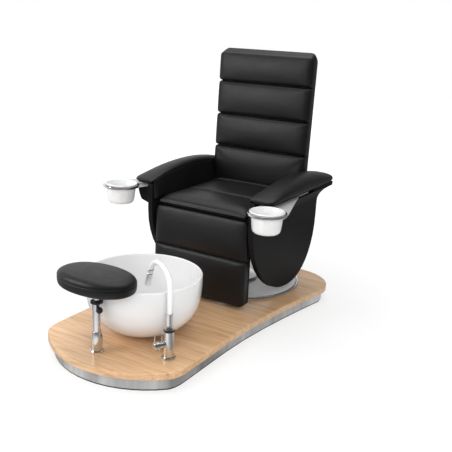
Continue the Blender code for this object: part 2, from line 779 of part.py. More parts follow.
def build_footrest():
    low = BOARD_TOP + GAP
    post = at(POST_X, POST_Y)
    bore = MIDDLE_TUBE_RADIUS + GAP
    profile = [
        (bore, low),
        (POST_FLANGE_RADIUS, low),
        (POST_FLANGE_RADIUS, low + POST_FLANGE_HEIGHT - 0.0015),
        (POST_FLANGE_RADIUS - 0.0015, low + POST_FLANGE_HEIGHT),
        (LOWER_TUBE_RADIUS, low + POST_FLANGE_HEIGHT),
        (LOWER_TUBE_RADIUS, LOWER_TUBE_TOP - LOWER_TUBE_TAPER),
        (LOWER_TUBE_NECK, LOWER_TUBE_TOP),
        (bore, LOWER_TUBE_TOP),
    ]
    finish("footrest_lower_tube", turned(profile, 20, post), CHROME)
    bore = STEM_RADIUS + SLIDE_CLEARANCE
    profile = [
        (bore, low),
        (MIDDLE_TUBE_RADIUS, low),
        (MIDDLE_TUBE_RADIUS, MIDDLE_TUBE_TOP),
        (bore, MIDDLE_TUBE_TOP),
    ]
    middle = finish("footrest_middle_tube", turned(profile, 20, post), CHROME)
    sleeve_bore = MIDDLE_TUBE_RADIUS + GAP
    collar_top = MIDDLE_TUBE_TOP
    profile = [
        (sleeve_bore, COLLAR_BOTTOM),
        (COLLAR_RADIUS - 0.001, COLLAR_BOTTOM),
        (COLLAR_RADIUS, COLLAR_BOTTOM + 0.001),
        (COLLAR_RADIUS, collar_top),
        (sleeve_bore, collar_top),
    ]
    collar = finish("footrest_collar", turned(profile, 20, post), CHROME)
    out = heading(KNOB_HEADING)
    knob_axis = Vector((POST_X, POST_Y, KNOB_Z))
    hole = KNOB_SCREW_RADIUS + SLIDE_CLEARANCE
    hole_start = knob_axis + out * (STEM_RADIUS - 0.002)
    hole_end = knob_axis + out * (COLLAR_RADIUS + 0.01)
    combine(collar, rod(hole, hole_start, hole_end, 16), "DIFFERENCE")
    combine(middle, rod(hole, hole_start, hole_end, 16), "DIFFERENCE")
    ring_low = collar_top + GAP
    ring_top = ring_low + BUSH_HEIGHT
    profile = [
        (bore, ring_low),
        (COLLAR_RADIUS, ring_low),
        (BUSH_RADIUS, ring_low + 0.003),
        (BUSH_RADIUS, ring_top - 0.003),
        (BUSH_RADIUS - 0.003, ring_top),
        (bore, ring_top),
    ]
    finish("footrest_bush", turned(profile, 20, post), RUBBER)
    plate_top = PAD_BOTTOM - GAP
    plate_low = plate_top - PLATE_THICKNESS
    stem_top = plate_low - GAP
    stem_pivot = (POST_X, POST_Y, STEM_BOTTOM)
    profile = [
        (0.0, STEM_BOTTOM),
        (STEM_RADIUS - 0.001, STEM_BOTTOM),
        (STEM_RADIUS, STEM_BOTTOM + 0.001),
        (STEM_RADIUS, stem_top),
        (0.0, stem_top),
    ]
    finish("footrest_stem", turned(profile, 20, post), CHROME, stem_pivot)
    pad_pivot = (POST_X, POST_Y, plate_low)
    shrink = PLATE_HALF_LENGTH / PAD_HALF_LENGTH
    rings = [
        oval_ring(shrink * 0.97, plate_low),
        oval_ring(shrink, plate_low + 0.002),
        oval_ring(shrink, plate_top),
    ]
    finish("footrest_plate", loft(rings), BLACK_BOARD, pad_pivot)
    seam = PAD_BOTTOM + 0.48 * PAD_HEIGHT
    top = PAD_BOTTOM + PAD_HEIGHT
    rings = [
        oval_ring(0.86, PAD_BOTTOM),
        oval_ring(0.94, PAD_BOTTOM + 0.004),
        oval_ring(0.985, PAD_BOTTOM + 0.013),
        oval_ring(0.990, seam - 0.003),
        oval_ring(0.975, seam),
        oval_ring(0.990, seam + 0.003),
        oval_ring(0.985, top - 0.018),
        oval_ring(0.955, top - 0.009),
        oval_ring(0.885, top - 0.004),
        oval_ring(0.70, top - 0.001),
        oval_ring(0.35, top),
        [Vector((POST_X, POST_Y, top))],
    ]
    finish("footrest_pad", loft(rings), LEATHER, pad_pivot)
    knob_start = knob_axis + out * (STEM_RADIUS + 0.0015)
    reach = KNOB_REACH - STEM_RADIUS - 0.0015
    profile = [(0.0, 0.0), (KNOB_SCREW_RADIUS, 0.0)]
    profile.append((KNOB_SCREW_RADIUS, reach - KNOB_RADIUS + 0.0006))
    ball = 7
    first = math.asin(KNOB_SCREW_RADIUS / KNOB_RADIUS)
    for i in range(1, ball + 1):
        angle = first + (math.pi - first) * i / ball
        radius = KNOB_RADIUS * math.sin(angle) if i < ball else 0.0
        profile.append((radius, reach - KNOB_RADIUS * math.cos(angle)))
    finish("clamp_knob", turned(profile, 16, aimed(knob_start, out)), RUBBER, knob_start)


def oval_ring(scale, height):
    count = 32
    points = []
    for i in range(count):
        angle = 2.0 * math.pi * i / count
        c = math.cos(angle)
        s = math.sin(angle)
        x = math.copysign(abs(c) ** (2.0 / PAD_ROUNDNESS), c) * PAD_HALF_LENGTH
        y = math.copysign(abs(s) ** (2.0 / PAD_ROUNDNESS), s) * PAD_HALF_DEPTH
        points.append(Vector((POST_X + x * scale, POST_Y + y * scale, height)))
    return points


# Seat frame and cushions
def build_seat():
    low = COLUMN_TOP + GAP + TURNTABLE_THICKNESS + GAP
    rail = FRAME_RAIL
    half = FRAME_HALF_WIDTH
    xs = [-half, -half + rail, -0.14, 0.14, half - rail, half]
    ys = [FRAME_FRONT, FRAME_FRONT + rail, SWIVEL_Y - 0.14, SWIVEL_Y + 0.10, FRAME_REAR - rail, FRAME_REAR]
    zs = [low, low + FRAME_PLATE, FRAME_TOP - rail, FRAME_TOP]

    def filled(i, j, k):
        rim = i in (0, 4) or j in (0, 4)
        if k == 2:
            return rim
        if k == 1:
            return rim
        return rim or j == 2 or i == 2

    pivot = (0.0, SWIVEL_Y, low)
    finish("seat_frame", box_cells(xs, ys, zs, filled), STEEL, pivot)
    base = FRAME_TOP + GAP
    nose = SEAT_NOSE_BOTTOM
    top = SEAT_TOP
    edge = SEAT_SPLIT - 0.0015
    front = [
        (edge, base),
        (LEG_HINGE_Y + LEG_BARREL_RADIUS + 0.012, base),
        (LEG_HINGE_Y + LEG_BARREL_RADIUS + 0.012, nose - 0.002),
        (SEAT_FRONT + 0.016, nose),
        (SEAT_FRONT + 0.004, nose + 0.006),
        (SEAT_FRONT, nose + 0.015),
        (SEAT_FRONT + 0.005, nose + 0.024),
        (SEAT_FRONT + 0.020, top - 0.001),
        (SEAT_FRONT + 0.055, top + 0.002),
        (0.5 * (SEAT_FRONT + SEAT_SPLIT) + 0.02, top + 0.001),
        (edge - 0.030, top - 0.002),
        (edge - 0.008, top - 0.009),
        (edge, top - 0.024),
    ]
    finish("seat_cushion_front", seat_pad(front), LEATHER, pivot)
    edge = SEAT_SPLIT + 0.0015
    rear = [
        (SEAT_REAR, base),
        (edge, base),
        (edge, top - 0.024),
        (edge + 0.008, top - 0.009),
        (edge + 0.030, top - 0.002),
        (0.5 * (SEAT_SPLIT + SEAT_REAR), top + 0.001),
        (SEAT_REAR - SEAT_BEAD, top - 0.003),
        (SEAT_REAR - 0.80 * SEAT_BEAD, top + 0.004),
        (SEAT_REAR - 0.45 * SEAT_BEAD, top + 0.006),
        (SEAT_REAR - 0.15 * SEAT_BEAD, top - 0.002),
        (SEAT_REAR, top - 0.018),
    ]
    finish("seat_cushion_rear", seat_pad(rear), LEATHER, pivot)


END_STATIONS = (0.0, 0.40, 0.70, 0.86, 0.94, 0.98, 1.0)


def mirrored_stations():
    negative = [-u for u in reversed(END_STATIONS[1:])]
    return negative + list(END_STATIONS)


def seat_pad(profile):
    rings = []
    for u in mirrored_stations():
        edge = 0.35 + 0.65 * power_curve(u, 7.0)
        crown = SEAT_CROWN * (1.0 - u * u)
        roll = SEAT_NOSE_BOTTOM + 0.006
        ring = []
        for y, z in profile:
            if z > roll:
                z = roll + (z - roll) * (edge + crown / (SEAT_TOP - roll))
            ring.append(Vector((u * SEAT_HALF_WIDTH, y, z)))
        rings.append(ring)
    return loft(rings)


# Side panels with the armrests
def panel_low(y):
    if y <= PANEL_LOW_Y:
        t = (PANEL_LOW_Y - y) / (PANEL_LOW_Y - PANEL_FRONT)
        rise = PANEL_FLARE_START - PANEL_LOW_Z
        return PANEL_FLARE_START - rise * power_curve(t, 1.95)
    t = (y - PANEL_LOW_Y) / (PANEL_REAR - PANEL_LOW_Y)
    top = PANEL_FLARE_START - 0.07
    return top - (top - PANEL_LOW_Z) * power_curve(t, 2.2)


def panel_section(side, y, slotted):
    low = panel_low(y)
    low = min(low, PANEL_FLARE_START - 0.002)
    shelf = SLOT_FLOOR if slotted else ARM_SEAT_Z
    fade = min(1.0, max(0.0, (y - PANEL_FRONT) / (BLOCK_REAR - PANEL_FRONT)))
    fade = fade * fade * (3.0 - 2.0 * fade)
    flare = BLOCK_WIDTH + (PANEL_FLARE - BLOCK_WIDTH) * fade
    start = BLOCK_LOW + (PANEL_FLARE_START - BLOCK_LOW) * fade
    bend = 0.26 + (2.2 - 0.26) * fade
    outer = PANEL_OUTER + flare
    points = [(PANEL_INNER, low), (PANEL_OUTER, low)]
    steps = 6
    for i in range(steps + 1):
        t = i / steps
        z = start + (SLOT_FLOOR - 0.004 - start) * t
        points.append((PANEL_OUTER + flare * t ** bend, z))
    step = PANEL_OUTER if slotted else PANEL_OUTER + 0.020
    points += [(outer, shelf), (step, shelf), (PANEL_OUTER, ARM_SEAT_Z), (PANEL_INNER, ARM_SEAT_Z)]
    return [Vector((side * x, y, z)) for x, z in points]


def panel_stations():
    stations = []
    steps = 10
    for i in range(steps + 1):
        angle = 0.5 * math.pi * i / steps
        stations.append(PANEL_LOW_Y - (PANEL_LOW_Y - PANEL_FRONT) * math.cos(angle))
    for i in range(1, steps + 1):
        angle = 0.5 * math.pi * i / steps
        stations.append(PANEL_LOW_Y + (PANEL_REAR - PANEL_LOW_Y) * math.sin(angle))
    return stations


def build_panel(word, side):
    rings = []
    stepped = False
    for y in panel_stations():
        if y > SLOT_END and not stepped:
            rings.append(panel_section(side, SLOT_END, True))
            rings.append(panel_section(side, SLOT_END + SLOT_RAMP, False))
            stepped = True
        rings.append(panel_section(side, y, not stepped))
    pivot = (0.0, SWIVEL_Y, SLOT_FLOOR)
    bm = loft(rings)
    bmesh.ops.recalc_face_normals(bm, faces=bm.faces[:])
    bmesh.ops.triangulate(bm, faces=bm.faces[:])
    panel = finish("side_panel_" + word, bm, BLACK_BOARD, pivot)
    depth = ROD_SEAT_DEPTH + 0.001
    hole = ROD_RADIUS + SLIDE_CLEARANCE
    inner = side * (PANEL_INNER - 0.01)
    outer = side * (PANEL_INNER + depth)
    for y, z in ((BACK_HINGE_Y, BACK_HINGE_Z), (LEG_HINGE_Y, LEG_HINGE_Z)):
        combine(panel, rod(hole, (inner, y, z), (outer, y, z), 16), "DIFFERENCE")
    hole = BRACKET_BOLT_RADIUS + GAP
    x = side * BRACKET_PIVOT_X
    y = BRACKET_PIVOT_Y
    combine(panel, rod(hole, (x, y, SLOT_FLOOR - 0.020), (x, y, SLOT_FLOOR + 0.01), 16), "DIFFERENCE")


def arm_rise(y):
    t = (y - ARM_FRONT) / (ARM_REAR - ARM_FRONT)
    ends = ARM_FRONT_RISE + (ARM_REAR_RISE - ARM_FRONT_RISE) * t
    return ends + (ARM_ARCH - 0.5 * (ARM_FRONT_RISE + ARM_REAR_RISE)) * (1.0 - abs(2.0 * t - 1.0) ** 2.1)


def arm_section(side, y, base, width_scale):
    height = arm_rise(y)
    low = base
    middle = 0.5 * (ARM_INNER + ARM_OUTER)
    anchor = ARM_INNER if y < SWIVEL_Y else middle
    shape = (
        (0.05, 0.0),
        (0.0, 0.12),
        (0.0, 0.58),
        (0.03, 0.80),
        (0.10, 0.93),
        (0.25, 1.0),
        (0.46, 1.0),
        (0.66, 0.97),
        (0.83, 0.87),
        (0.95, 0.66),
        (1.0, 0.40),
        (1.0, 0.18),
        (0.97, 0.04),
        (0.92, 0.0),
    )
    points = []
    for u, v in shape:
        x = ARM_INNER + (ARM_OUTER - ARM_INNER) * u
        x = anchor + (x - anchor) * width_scale
        points.append(Vector((side * x, y, low + height * v)))
    return points


def inner_pad_section(y, draw):
    back = PANEL_INNER - GAP
    low = FRAME_TOP + GAP if y >= INNER_PAD_STEP else INNER_PAD_FRONT_LOW
    top = ARM_SEAT_Z + ARM_BOARD_THICKNESS + arm_rise(y) - INNER_PAD_DROP
    near = back - (back - INNER_PAD_FACE) * draw
    lip = max(near, back - INNER_PAD_LIP)
    points = [(back, low), (near + 0.003, low), (near, low + 0.010)]
    slope_low = SEAT_TOP - 0.008
    slope_top = top - 0.006
    for share in (0.0, 0.30, 0.55, 0.80, 1.0):
        points.append((near + (lip - near) * share ** 1.5, slope_low + (slope_top - slope_low) * share))
    points += [(0.5 * (lip + back), top), (back - 0.001, top - 0.003), (back, top - 0.010)]
    return points


def build_armrest(word, side):
    pivot = (0.0, SWIVEL_Y, ARM_SEAT_Z)
    low = ARM_SEAT_Z + GAP
    top = low + ARM_BOARD_THICKNESS
    front = ARM_FRONT + 0.012
    rear = ARM_REAR - 0.018
    inner = ARM_INNER + 0.006
    outer = ARM_OUTER - 0.010
    outline = [(inner, front), (outer - 0.02, front), (outer, front + 0.02)]
    for i in range(5):
        angle = 0.5 * math.pi * i / 4.0
        outline.append((outer - 0.05 + 0.05 * math.cos(angle), rear - 0.05 + 0.05 * math.sin(angle)))
    outline.append((inner, rear))
    rings = []
    for z in (low, top):
        rings.append([Vector((side * x, y, z)) for x, y in outline])
    finish("armrest_board_" + word, loft(rings), BLACK_BOARD, pivot)
    base = top + GAP
    stations = ((0.0, 0.62), (0.010, 0.84), (0.030, 0.97), (0.06, 1.0), (0.12, 1.0), (0.19, 1.0), (0.28, 1.0))
    stations += ((0.39, 1.0), (0.50, 1.0), (0.61, 1.0), (0.72, 1.0), (0.82, 1.0), (0.90, 0.985))
    stations += ((0.950, 0.93), (0.980, 0.80), (1.0, 0.50))
    rings = []
    for share, scale in stations:
        y = ARM_FRONT + (ARM_REAR - ARM_FRONT) * share
        rings.append(arm_section(side, y, base, scale))
    finish("armrest_pad_" + word, loft(rings), LEATHER, pivot)
    rings = []
    step = INNER_PAD_STEP
    rear = INNER_PAD_REAR
    run = rear - step
    places = [(INNER_PAD_FRONT, 0.45), (INNER_PAD_FRONT + 0.008, 0.80), (INNER_PAD_FRONT + 0.026, 1.0)]
    places += [(step - 0.004, 1.0), (step, 1.0), (step + 0.14 * run, 1.0), (step + 0.35 * run, 1.0)]
    places += [(step + 0.60 * run, 1.0), (step + 0.85 * run, 1.0), (rear - 0.018, 0.85), (rear, 0.55)]
    for y, draw in places:
        rings.append([Vector((side * x, y, z)) for x, z in inner_pad_section(y, draw)])
    finish("arm_inner_pad_" + word, loft(rings), LEATHER, pivot)


# Manicure bowl holders
def build_bowl(word, side):
    x = side * BOWL_X
    low = RING_BOTTOM
    top = RING_BOTTOM + RING_HEIGHT
    pivot = (side * BRACKET_PIVOT_X, BRACKET_PIVOT_Y, BRACKET_BOTTOM)
    profile = [
        (RING_INNER, low + 0.001),
        (RING_INNER + 0.001, low),
        (RING_OUTER - 0.002, low),
        (RING_OUTER, low + 0.003),
        (RING_OUTER, top - 0.003),
        (RING_OUTER - 0.002, top),
        (RING_INNER + 0.001, top),
        (RING_INNER, top - 0.001),
    ]
    finish("bowl_ring_" + word, turned(profile, 28, at(x, BOWL_Y)), CHROME, pivot)

    rim = RING_OUTER + 3.0 * GAP
    centre = Vector((BOWL_X, BOWL_Y))
    outline = []
    for i in range(9):
        angle = math.radians(180.0 - 180.0 * i / 8.0)
        reach = BRACKET_END_RADIUS
        outline.append((BRACKET_PIVOT_X + reach * math.cos(angle), BRACKET_PIVOT_Y + reach * math.sin(angle)))
    outline.append((BRACKET_PIVOT_X + BRACKET_END_RADIUS, 0.345))
    for i in range(13):
        angle = math.radians(26.0 + (158.0 - 26.0) * i / 12.0)
        outline.append((centre.x + rim * math.cos(angle), centre.y + rim * math.sin(angle)))
    outline.append((BRACKET_PIVOT_X - BRACKET_END_RADIUS, 0.030))
    rings = []
    for z in (BRACKET_BOTTOM, BRACKET_BOTTOM + BRACKET_THICKNESS):
        rings.append([Vector((side * px, py, z)) for px, py in outline])
    bracket = finish("bowl_bracket_" + word, loft(rings), STEEL, pivot)
    hole = BRACKET_BOLT_RADIUS + GAP
    px = side * BRACKET_PIVOT_X
    py = BRACKET_PIVOT_Y
    combine(bracket, rod(hole, (px, py, SLOT_FLOOR - 0.01), (px, py, ARM_SEAT_Z), 16), "DIFFERENCE")
    head_low = BRACKET_BOTTOM + BRACKET_THICKNESS + GAP
    head_top = head_low + 0.005
    profile = [
        (0.0, SLOT_FLOOR - 0.018),
        (BRACKET_BOLT_RADIUS, SLOT_FLOOR - 0.018),
        (BRACKET_BOLT_RADIUS, head_low),
        (BRACKET_BOLT_HEAD, head_low),
        (BRACKET_BOLT_HEAD, head_top - 0.001),
        (BRACKET_BOLT_HEAD - 0.001, head_top),
        (0.0, head_top),
    ]
    finish("bracket_bolt_" + word, turned(profile, 16, at(px, py)), STEEL, pivot)

    lip_low = top + GAP
    lip_top = lip_low + BOWL_LIP_HEIGHT
    foot = lip_top - BOWL_DEPTH
    wall = BOWL_WALL
    profile = [
        (0.0, foot),
        (BOWL_FOOT_RADIUS - 0.020, foot),
        (BOWL_FOOT_RADIUS - 0.009, foot + 0.003),
        (BOWL_FOOT_RADIUS - 0.002, foot + 0.010),
        (BOWL_FOOT_RADIUS + 0.001, foot + 0.020),
        (BOWL_RADIUS, lip_low),
        (BOWL_LIP_RADIUS - 0.001, lip_low),
        (BOWL_LIP_RADIUS, lip_low + 0.002),
        (BOWL_LIP_RADIUS - 0.0005, lip_top - 0.002),
        (BOWL_LIP_RADIUS - 0.003, lip_top),
        (BOWL_RADIUS - wall + 0.001, lip_top - 0.001),
        (BOWL_RADIUS - wall, lip_top - 0.004),
        (BOWL_FOOT_RADIUS - wall + 0.001, foot + 0.021),
        (BOWL_FOOT_RADIUS - wall - 0.003, foot + 0.012),
        (BOWL_FOOT_RADIUS - wall - 0.010, foot + wall + 0.003),
        (BOWL_FOOT_RADIUS - wall - 0.020, foot + wall),
        (0.0, foot + wall),
    ]
    finish("manicure_bowl_" + word, turned(profile, 28, at(x, BOWL_Y)), CERAMIC, (x, BOWL_Y, lip_low))


# Padded panels with rolled channels
def channel_profile(levels, depth, groove):
    points = []
    for index, (low, high) in enumerate(zip(levels, levels[1:])):
        for q in (-1.0, -0.90, -0.68, -0.36, 0.0, 0.36, 0.68, 0.90, 1.0):
            if index > 0 and q == -1.0:
                continue
            height = 0.5 * (low + high) + 0.5 * (high - low) * q
            points.append((height, depth - groove + groove * power_curve(q, 2.6)))
    return points


def padded_panel(levels, half_width, depth, groove, corner, to_world):
    front = channel_profile(levels, depth, groove)
    bottom = levels[0]
    top = levels[-1]
    rings = []
    for u in mirrored_stations():
        edge = 0.45 + 0.55 * power_curve(u, 6.0) if abs(u) < 1.0 else 0.45
        over = max(0.0, abs(u) * half_width - (half_width - corner))
        drop = corner - math.sqrt(max(0.0, corner * corner - over * over))
        drop = min(drop, corner * 0.82)
        ring = []
        for height, thickness in [(bottom, 0.0)] + front + [(top, 0.0)]:
            share = (height - bottom) / (top - bottom)
            shifted = height - drop * max(0.0, 2.0 * share - 1.0) ** 3
            shifted += 0.35 * drop * max(0.0, 1.0 - 2.0 * share) ** 3
            ring.append(to_world(u * half_width, shifted, thickness * edge))
        rings.append(ring)
    return loft(rings)


def lean_matrix():
    hinge = Vector((0.0, BACK_HINGE_Y, BACK_HINGE_Z))
    turn = Matrix.Rotation(math.radians(-BACK_LEAN), 4, "X")
    return Matrix.Translation(hinge) @ turn @ Matrix.Translation(-hinge)


def rounded_slab(half_width, low, high, corner, levels):
    rings = []
    for y, inset in levels:
        ring = []
        corners = ((1, low, -90.0), (1, high, 0.0), (-1, high, 90.0), (-1, low, 180.0))
        for sign, edge, start in corners:
            radius = corner if edge == high else corner * 0.5
            radius = max(0.002, radius - inset)
            cx = sign * (half_width - inset - radius)
            cz = edge - inset - radius if edge == high else edge + inset + radius
            for i in range(6):
                angle = math.radians(start + 90.0 * i / 5.0)
                ring.append(Vector((cx + radius * math.cos(angle), y, cz + radius * math.sin(angle))))
        rings.append(ring)
    return loft(rings)


def build_backrest():
    pivot = (0.0, BACK_HINGE_Y, BACK_HINGE_Z)
    lean = lean_matrix()
    back = BACK_FRONT + BACK_CUSHION_DEPTH
    pitch = (BACK_TOP - BACK_BOTTOM) / BACK_CHANNELS
    levels = [BACK_BOTTOM + pitch * i for i in range(BACK_CHANNELS + 1)]

    def to_world(x, height, thickness):
        return lean @ Vector((x, back - thickness, height))

    cushion = padded_panel(levels, BACK_CUSHION_HALF_WIDTH, BACK_CUSHION_DEPTH, BACK_GROOVE, BACK_CORNER, to_world)
    finish("backrest_cushion", cushion, LEATHER, pivot)
    near = back + GAP
    far = near + BACK_SHELL_DEPTH
    low = BACK_HINGE_Z + 0.006
    slab_levels = ((near, 0.003), (near + 0.004, 0.0), (far - 0.016, 0.0), (far - 0.005, 0.006), (far, 0.018))
    slab = rounded_slab(BACK_HALF_WIDTH, low, BACK_TOP - 0.004, BACK_CORNER, slab_levels)
    bmesh.ops.transform(slab, matrix=lean, verts=slab.verts[:])
    shell = finish("backrest_shell", slab, LEATHER, pivot)
    y = BACK_HINGE_Y
    z = BACK_HINGE_Z
    reach = BACK_BARREL_HALF_LENGTH
    combine(shell, rod(BACK_BARREL_RADIUS, (-reach, y, z), (reach, y, z), 24), "UNION")
    bore = ROD_RADIUS + SLIDE_CLEARANCE
    combine(shell, rod(bore, (-0.3, y, z), (0.3, y, z), 16), "DIFFERENCE")
    end = PANEL_INNER + ROD_SEAT_DEPTH
    finish("back_hinge_rod", rounded_rod(ROD_RADIUS, (-end, y, z), (end, y, z), 0.001, 16), STEEL, pivot)


def build_leg_rest():
    pivot = (0.0, LEG_HINGE_Y, LEG_HINGE_Z)
    back = LEG_FRONT + LEG_CUSHION_DEPTH
    levels = [LEG_BOTTOM, LEG_GROOVE_Z, LEG_TOP]

    def to_world(x, height, thickness):
        return Vector((x, back - thickness, height))

    cushion = padded_panel(levels, LEG_HALF_WIDTH, LEG_CUSHION_DEPTH, LEG_GROOVE, 0.020, to_world)
    finish("leg_rest_cushion", cushion, LEATHER, pivot)
    near = back + GAP
    far = near + LEG_BOARD_DEPTH
    top = LEG_HINGE_Z - 0.004
    slab_levels = ((near, 0.002), (near + 0.002, 0.0), (far - 0.003, 0.0), (far, 0.003))
    slab = rounded_slab(LEG_HALF_WIDTH - 0.006, LEG_BOTTOM + 0.008, top, 0.020, slab_levels)
    board = finish("leg_rest_board", slab, BLACK_BOARD, pivot)
    y = LEG_HINGE_Y
    z = LEG_HINGE_Z
    reach = LEG_BARREL_HALF_LENGTH
    combine(board, rod(LEG_BARREL_RADIUS, (-reach, y, z), (reach, y, z), 24), "UNION")
    bore = ROD_RADIUS + SLIDE_CLEARANCE
    combine(board, rod(bore, (-0.3, y, z), (0.3, y, z), 16), "DIFFERENCE")
    end = PANEL_INNER + ROD_SEAT_DEPTH
    finish("leg_hinge_rod", rounded_rod(ROD_RADIUS, (-end, y, z), (end, y, z), 0.001, 16), STEEL, pivot)


clear_scene()
build_platform()
build_chair_base()
build_basin()
build_tap()
build_footrest()
build_seat()
for word, side in SIDES.items():
    build_panel(word, side)
    build_armrest(word, side)
    build_bowl(word, side)
build_backrest()
build_leg_rest()
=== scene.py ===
import json
import math

import bmesh
import bpy
from mathutils import Matrix, Vector

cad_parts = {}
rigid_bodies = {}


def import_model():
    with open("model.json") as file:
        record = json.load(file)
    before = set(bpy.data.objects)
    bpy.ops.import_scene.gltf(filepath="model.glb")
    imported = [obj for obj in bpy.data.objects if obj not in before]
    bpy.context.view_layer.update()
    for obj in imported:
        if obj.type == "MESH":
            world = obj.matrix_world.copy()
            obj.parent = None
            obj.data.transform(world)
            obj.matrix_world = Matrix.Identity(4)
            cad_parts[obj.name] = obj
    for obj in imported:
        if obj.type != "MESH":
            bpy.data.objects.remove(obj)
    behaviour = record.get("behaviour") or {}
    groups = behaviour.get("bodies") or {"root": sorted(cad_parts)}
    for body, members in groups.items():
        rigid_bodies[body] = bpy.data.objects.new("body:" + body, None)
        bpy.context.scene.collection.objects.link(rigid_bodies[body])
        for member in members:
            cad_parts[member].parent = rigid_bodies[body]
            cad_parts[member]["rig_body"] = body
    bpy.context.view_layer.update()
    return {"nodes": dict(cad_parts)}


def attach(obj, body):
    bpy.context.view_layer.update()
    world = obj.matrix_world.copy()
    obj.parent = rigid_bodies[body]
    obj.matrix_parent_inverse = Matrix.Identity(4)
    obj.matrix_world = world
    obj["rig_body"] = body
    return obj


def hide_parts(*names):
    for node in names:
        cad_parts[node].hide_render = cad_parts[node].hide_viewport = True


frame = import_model()
nodes = frame["nodes"]
scene = bpy.context.scene
print("chair frame loaded:", len(nodes), "pieces")


# material helpers

def setInputs(node, values):
    for key, value in values.items():
        node.inputs[key].default_value = value


def addNode(tree, kind, values=None, **settings):
    node = tree.nodes.new(kind)
    for key, value in settings.items():
        setattr(node, key, value)
    setInputs(node, values or {})
    return node


def wire(tree, start, end):
    tree.links.new(start, end)


def startMaterial(name):
    material = bpy.data.materials.new(name)
    material.use_nodes = True
    tree = material.node_tree
    return material, tree, tree.nodes["Principled BSDF"]


def mappedPlace(tree, scale=(1.0, 1.0, 1.0), turn=(0.0, 0.0, 0.0)):
    place = addNode(tree, "ShaderNodeTexCoord")
    mapping = addNode(tree, "ShaderNodeMapping", {"Rotation": turn, "Scale": scale})
    wire(tree, place.outputs["Object"], mapping.inputs["Vector"])
    return mapping.outputs["Vector"]


def colourRamp(tree, value, stops):
    ramp = addNode(tree, "ShaderNodeValToRGB")
    while len(ramp.color_ramp.elements) < len(stops):
        ramp.color_ramp.elements.new(0.5)
    for element, (where, colour) in zip(ramp.color_ramp.elements, stops):
        element.position = where
        element.color = (*colour, 1.0)
    wire(tree, value, ramp.inputs["Fac"])
    return ramp.outputs["Color"]


def greyRamp(tree, value, stops):
    return colourRamp(tree, value, [(where, (tone, tone, tone)) for where, tone in stops])


def spanValue(tree, value, low, high, reach=(0.0, 1.0)):
    levels = {"From Min": reach[0], "From Max": reach[1], "To Min": low, "To Max": high}
    span = addNode(tree, "ShaderNodeMapRange", levels)
    wire(tree, value, span.inputs["Value"])
    return span.outputs["Result"]


def scaleAdd(tree, value, factor, base):
    node = addNode(tree, "ShaderNodeMath", operation="MULTIPLY_ADD")
    node.inputs[1].default_value = factor
    wire(tree, value, node.inputs[0])
    wire(tree, base, node.inputs[2])
    return node.outputs["Value"]


def mixColours(tree, share, first, second):
    # the colour sockets of a Mix node come after its number and vector ones
    mix = addNode(tree, "ShaderNodeMix", data_type="RGBA")
    wire(tree, share, mix.inputs["Factor"])
    wire(tree, first, mix.inputs[6])
    wire(tree, second, mix.inputs[7])
    return mix.outputs[2]


def mixShaders(tree, share, first, second):
    mix = addNode(tree, "ShaderNodeMixShader")
    wire(tree, share, mix.inputs["Fac"])
    wire(tree, first, mix.inputs[1])
    wire(tree, second, mix.inputs[2])
    return mix.outputs["Shader"]


def addBump(tree, shader, height, settings):
    bump = addNode(tree, "ShaderNodeBump", {"Strength": settings["bump"], "Distance": settings["bumpDepth"]})
    wire(tree, height, bump.inputs["Height"])
    wire(tree, bump.outputs["Normal"], shader.inputs["Normal"])


def startGroup(name, amounts, outputs):
    group = bpy.data.node_groups.new(name, "ShaderNodeTree")
    group.interface.new_socket(name="Place", in_out="INPUT", socket_type="NodeSocketVector")
    for label, value in amounts.items():
        socket = group.interface.new_socket(name=label, in_out="INPUT", socket_type="NodeSocketFloat")
        socket.default_value = value
    for label in outputs:
        group.interface.new_socket(name=label, in_out="OUTPUT", socket_type="NodeSocketFloat")
    return group, addNode(group, "NodeGroupInput"), addNode(group, "NodeGroupOutput")


def useGroup(tree, group, place, amounts):
    node = addNode(tree, "ShaderNodeGroup", amounts, node_tree=group)
    wire(tree, place, node.inputs["Place"])
    return node


# shared effects

hideLook = {
    "warp": {"Detail": 2.0, "Distortion": 0.4}, "bend": (0.004, 0.004, 0.004),
    "pebble": {"Smoothness": 0.35}, "pebbleShare": 0.55,
}


def makeHideGrain(settings):
    group, entry, leave = startGroup("hideGrain", {"Pebbles": 420.0, "Creases": 36.0}, ["Height", "Tone"])
    warp = addNode(group, "ShaderNodeTexNoise", settings["warp"])
    pebble = addNode(group, "ShaderNodeTexVoronoi", settings["pebble"], feature="SMOOTH_F1")
    bent = addNode(group, "ShaderNodeVectorMath", operation="MULTIPLY_ADD")
    bent.inputs[1].default_value = settings["bend"]
    wire(group, entry.outputs["Place"], warp.inputs["Vector"])
    wire(group, entry.outputs["Creases"], warp.inputs["Scale"])
    wire(group, warp.outputs["Color"], bent.inputs[0])
    wire(group, entry.outputs["Place"], bent.inputs[2])
    wire(group, bent.outputs["Vector"], pebble.inputs["Vector"])
    wire(group, entry.outputs["Pebbles"], pebble.inputs["Scale"])
    grain = scaleAdd(group, pebble.outputs["Distance"], settings["pebbleShare"], warp.outputs["Fac"])
    wire(group, grain, leave.inputs["Height"])
    wire(group, warp.outputs["Fac"], leave.inputs["Tone"])
    return group


handledLook = {
    "Broad": {"Detail": 4.0, "Roughness": 0.6},
    "Fine": {"Detail": 3.0, "Roughness": 0.7},
}


def makeHandled(settings):
    group, entry, leave = startGroup("handled", {"Broad": 7.0, "Fine": 90.0}, ["Smudge", "Speck"])
    for size, mark in (("Broad", "Smudge"), ("Fine", "Speck")):
        noise = addNode(group, "ShaderNodeTexNoise", settings[size])
        wire(group, entry.outputs["Place"], noise.inputs["Vector"])
        wire(group, entry.outputs[size], noise.inputs["Scale"])
        wire(group, noise.outputs["Fac"], leave.inputs[mark])
    return group


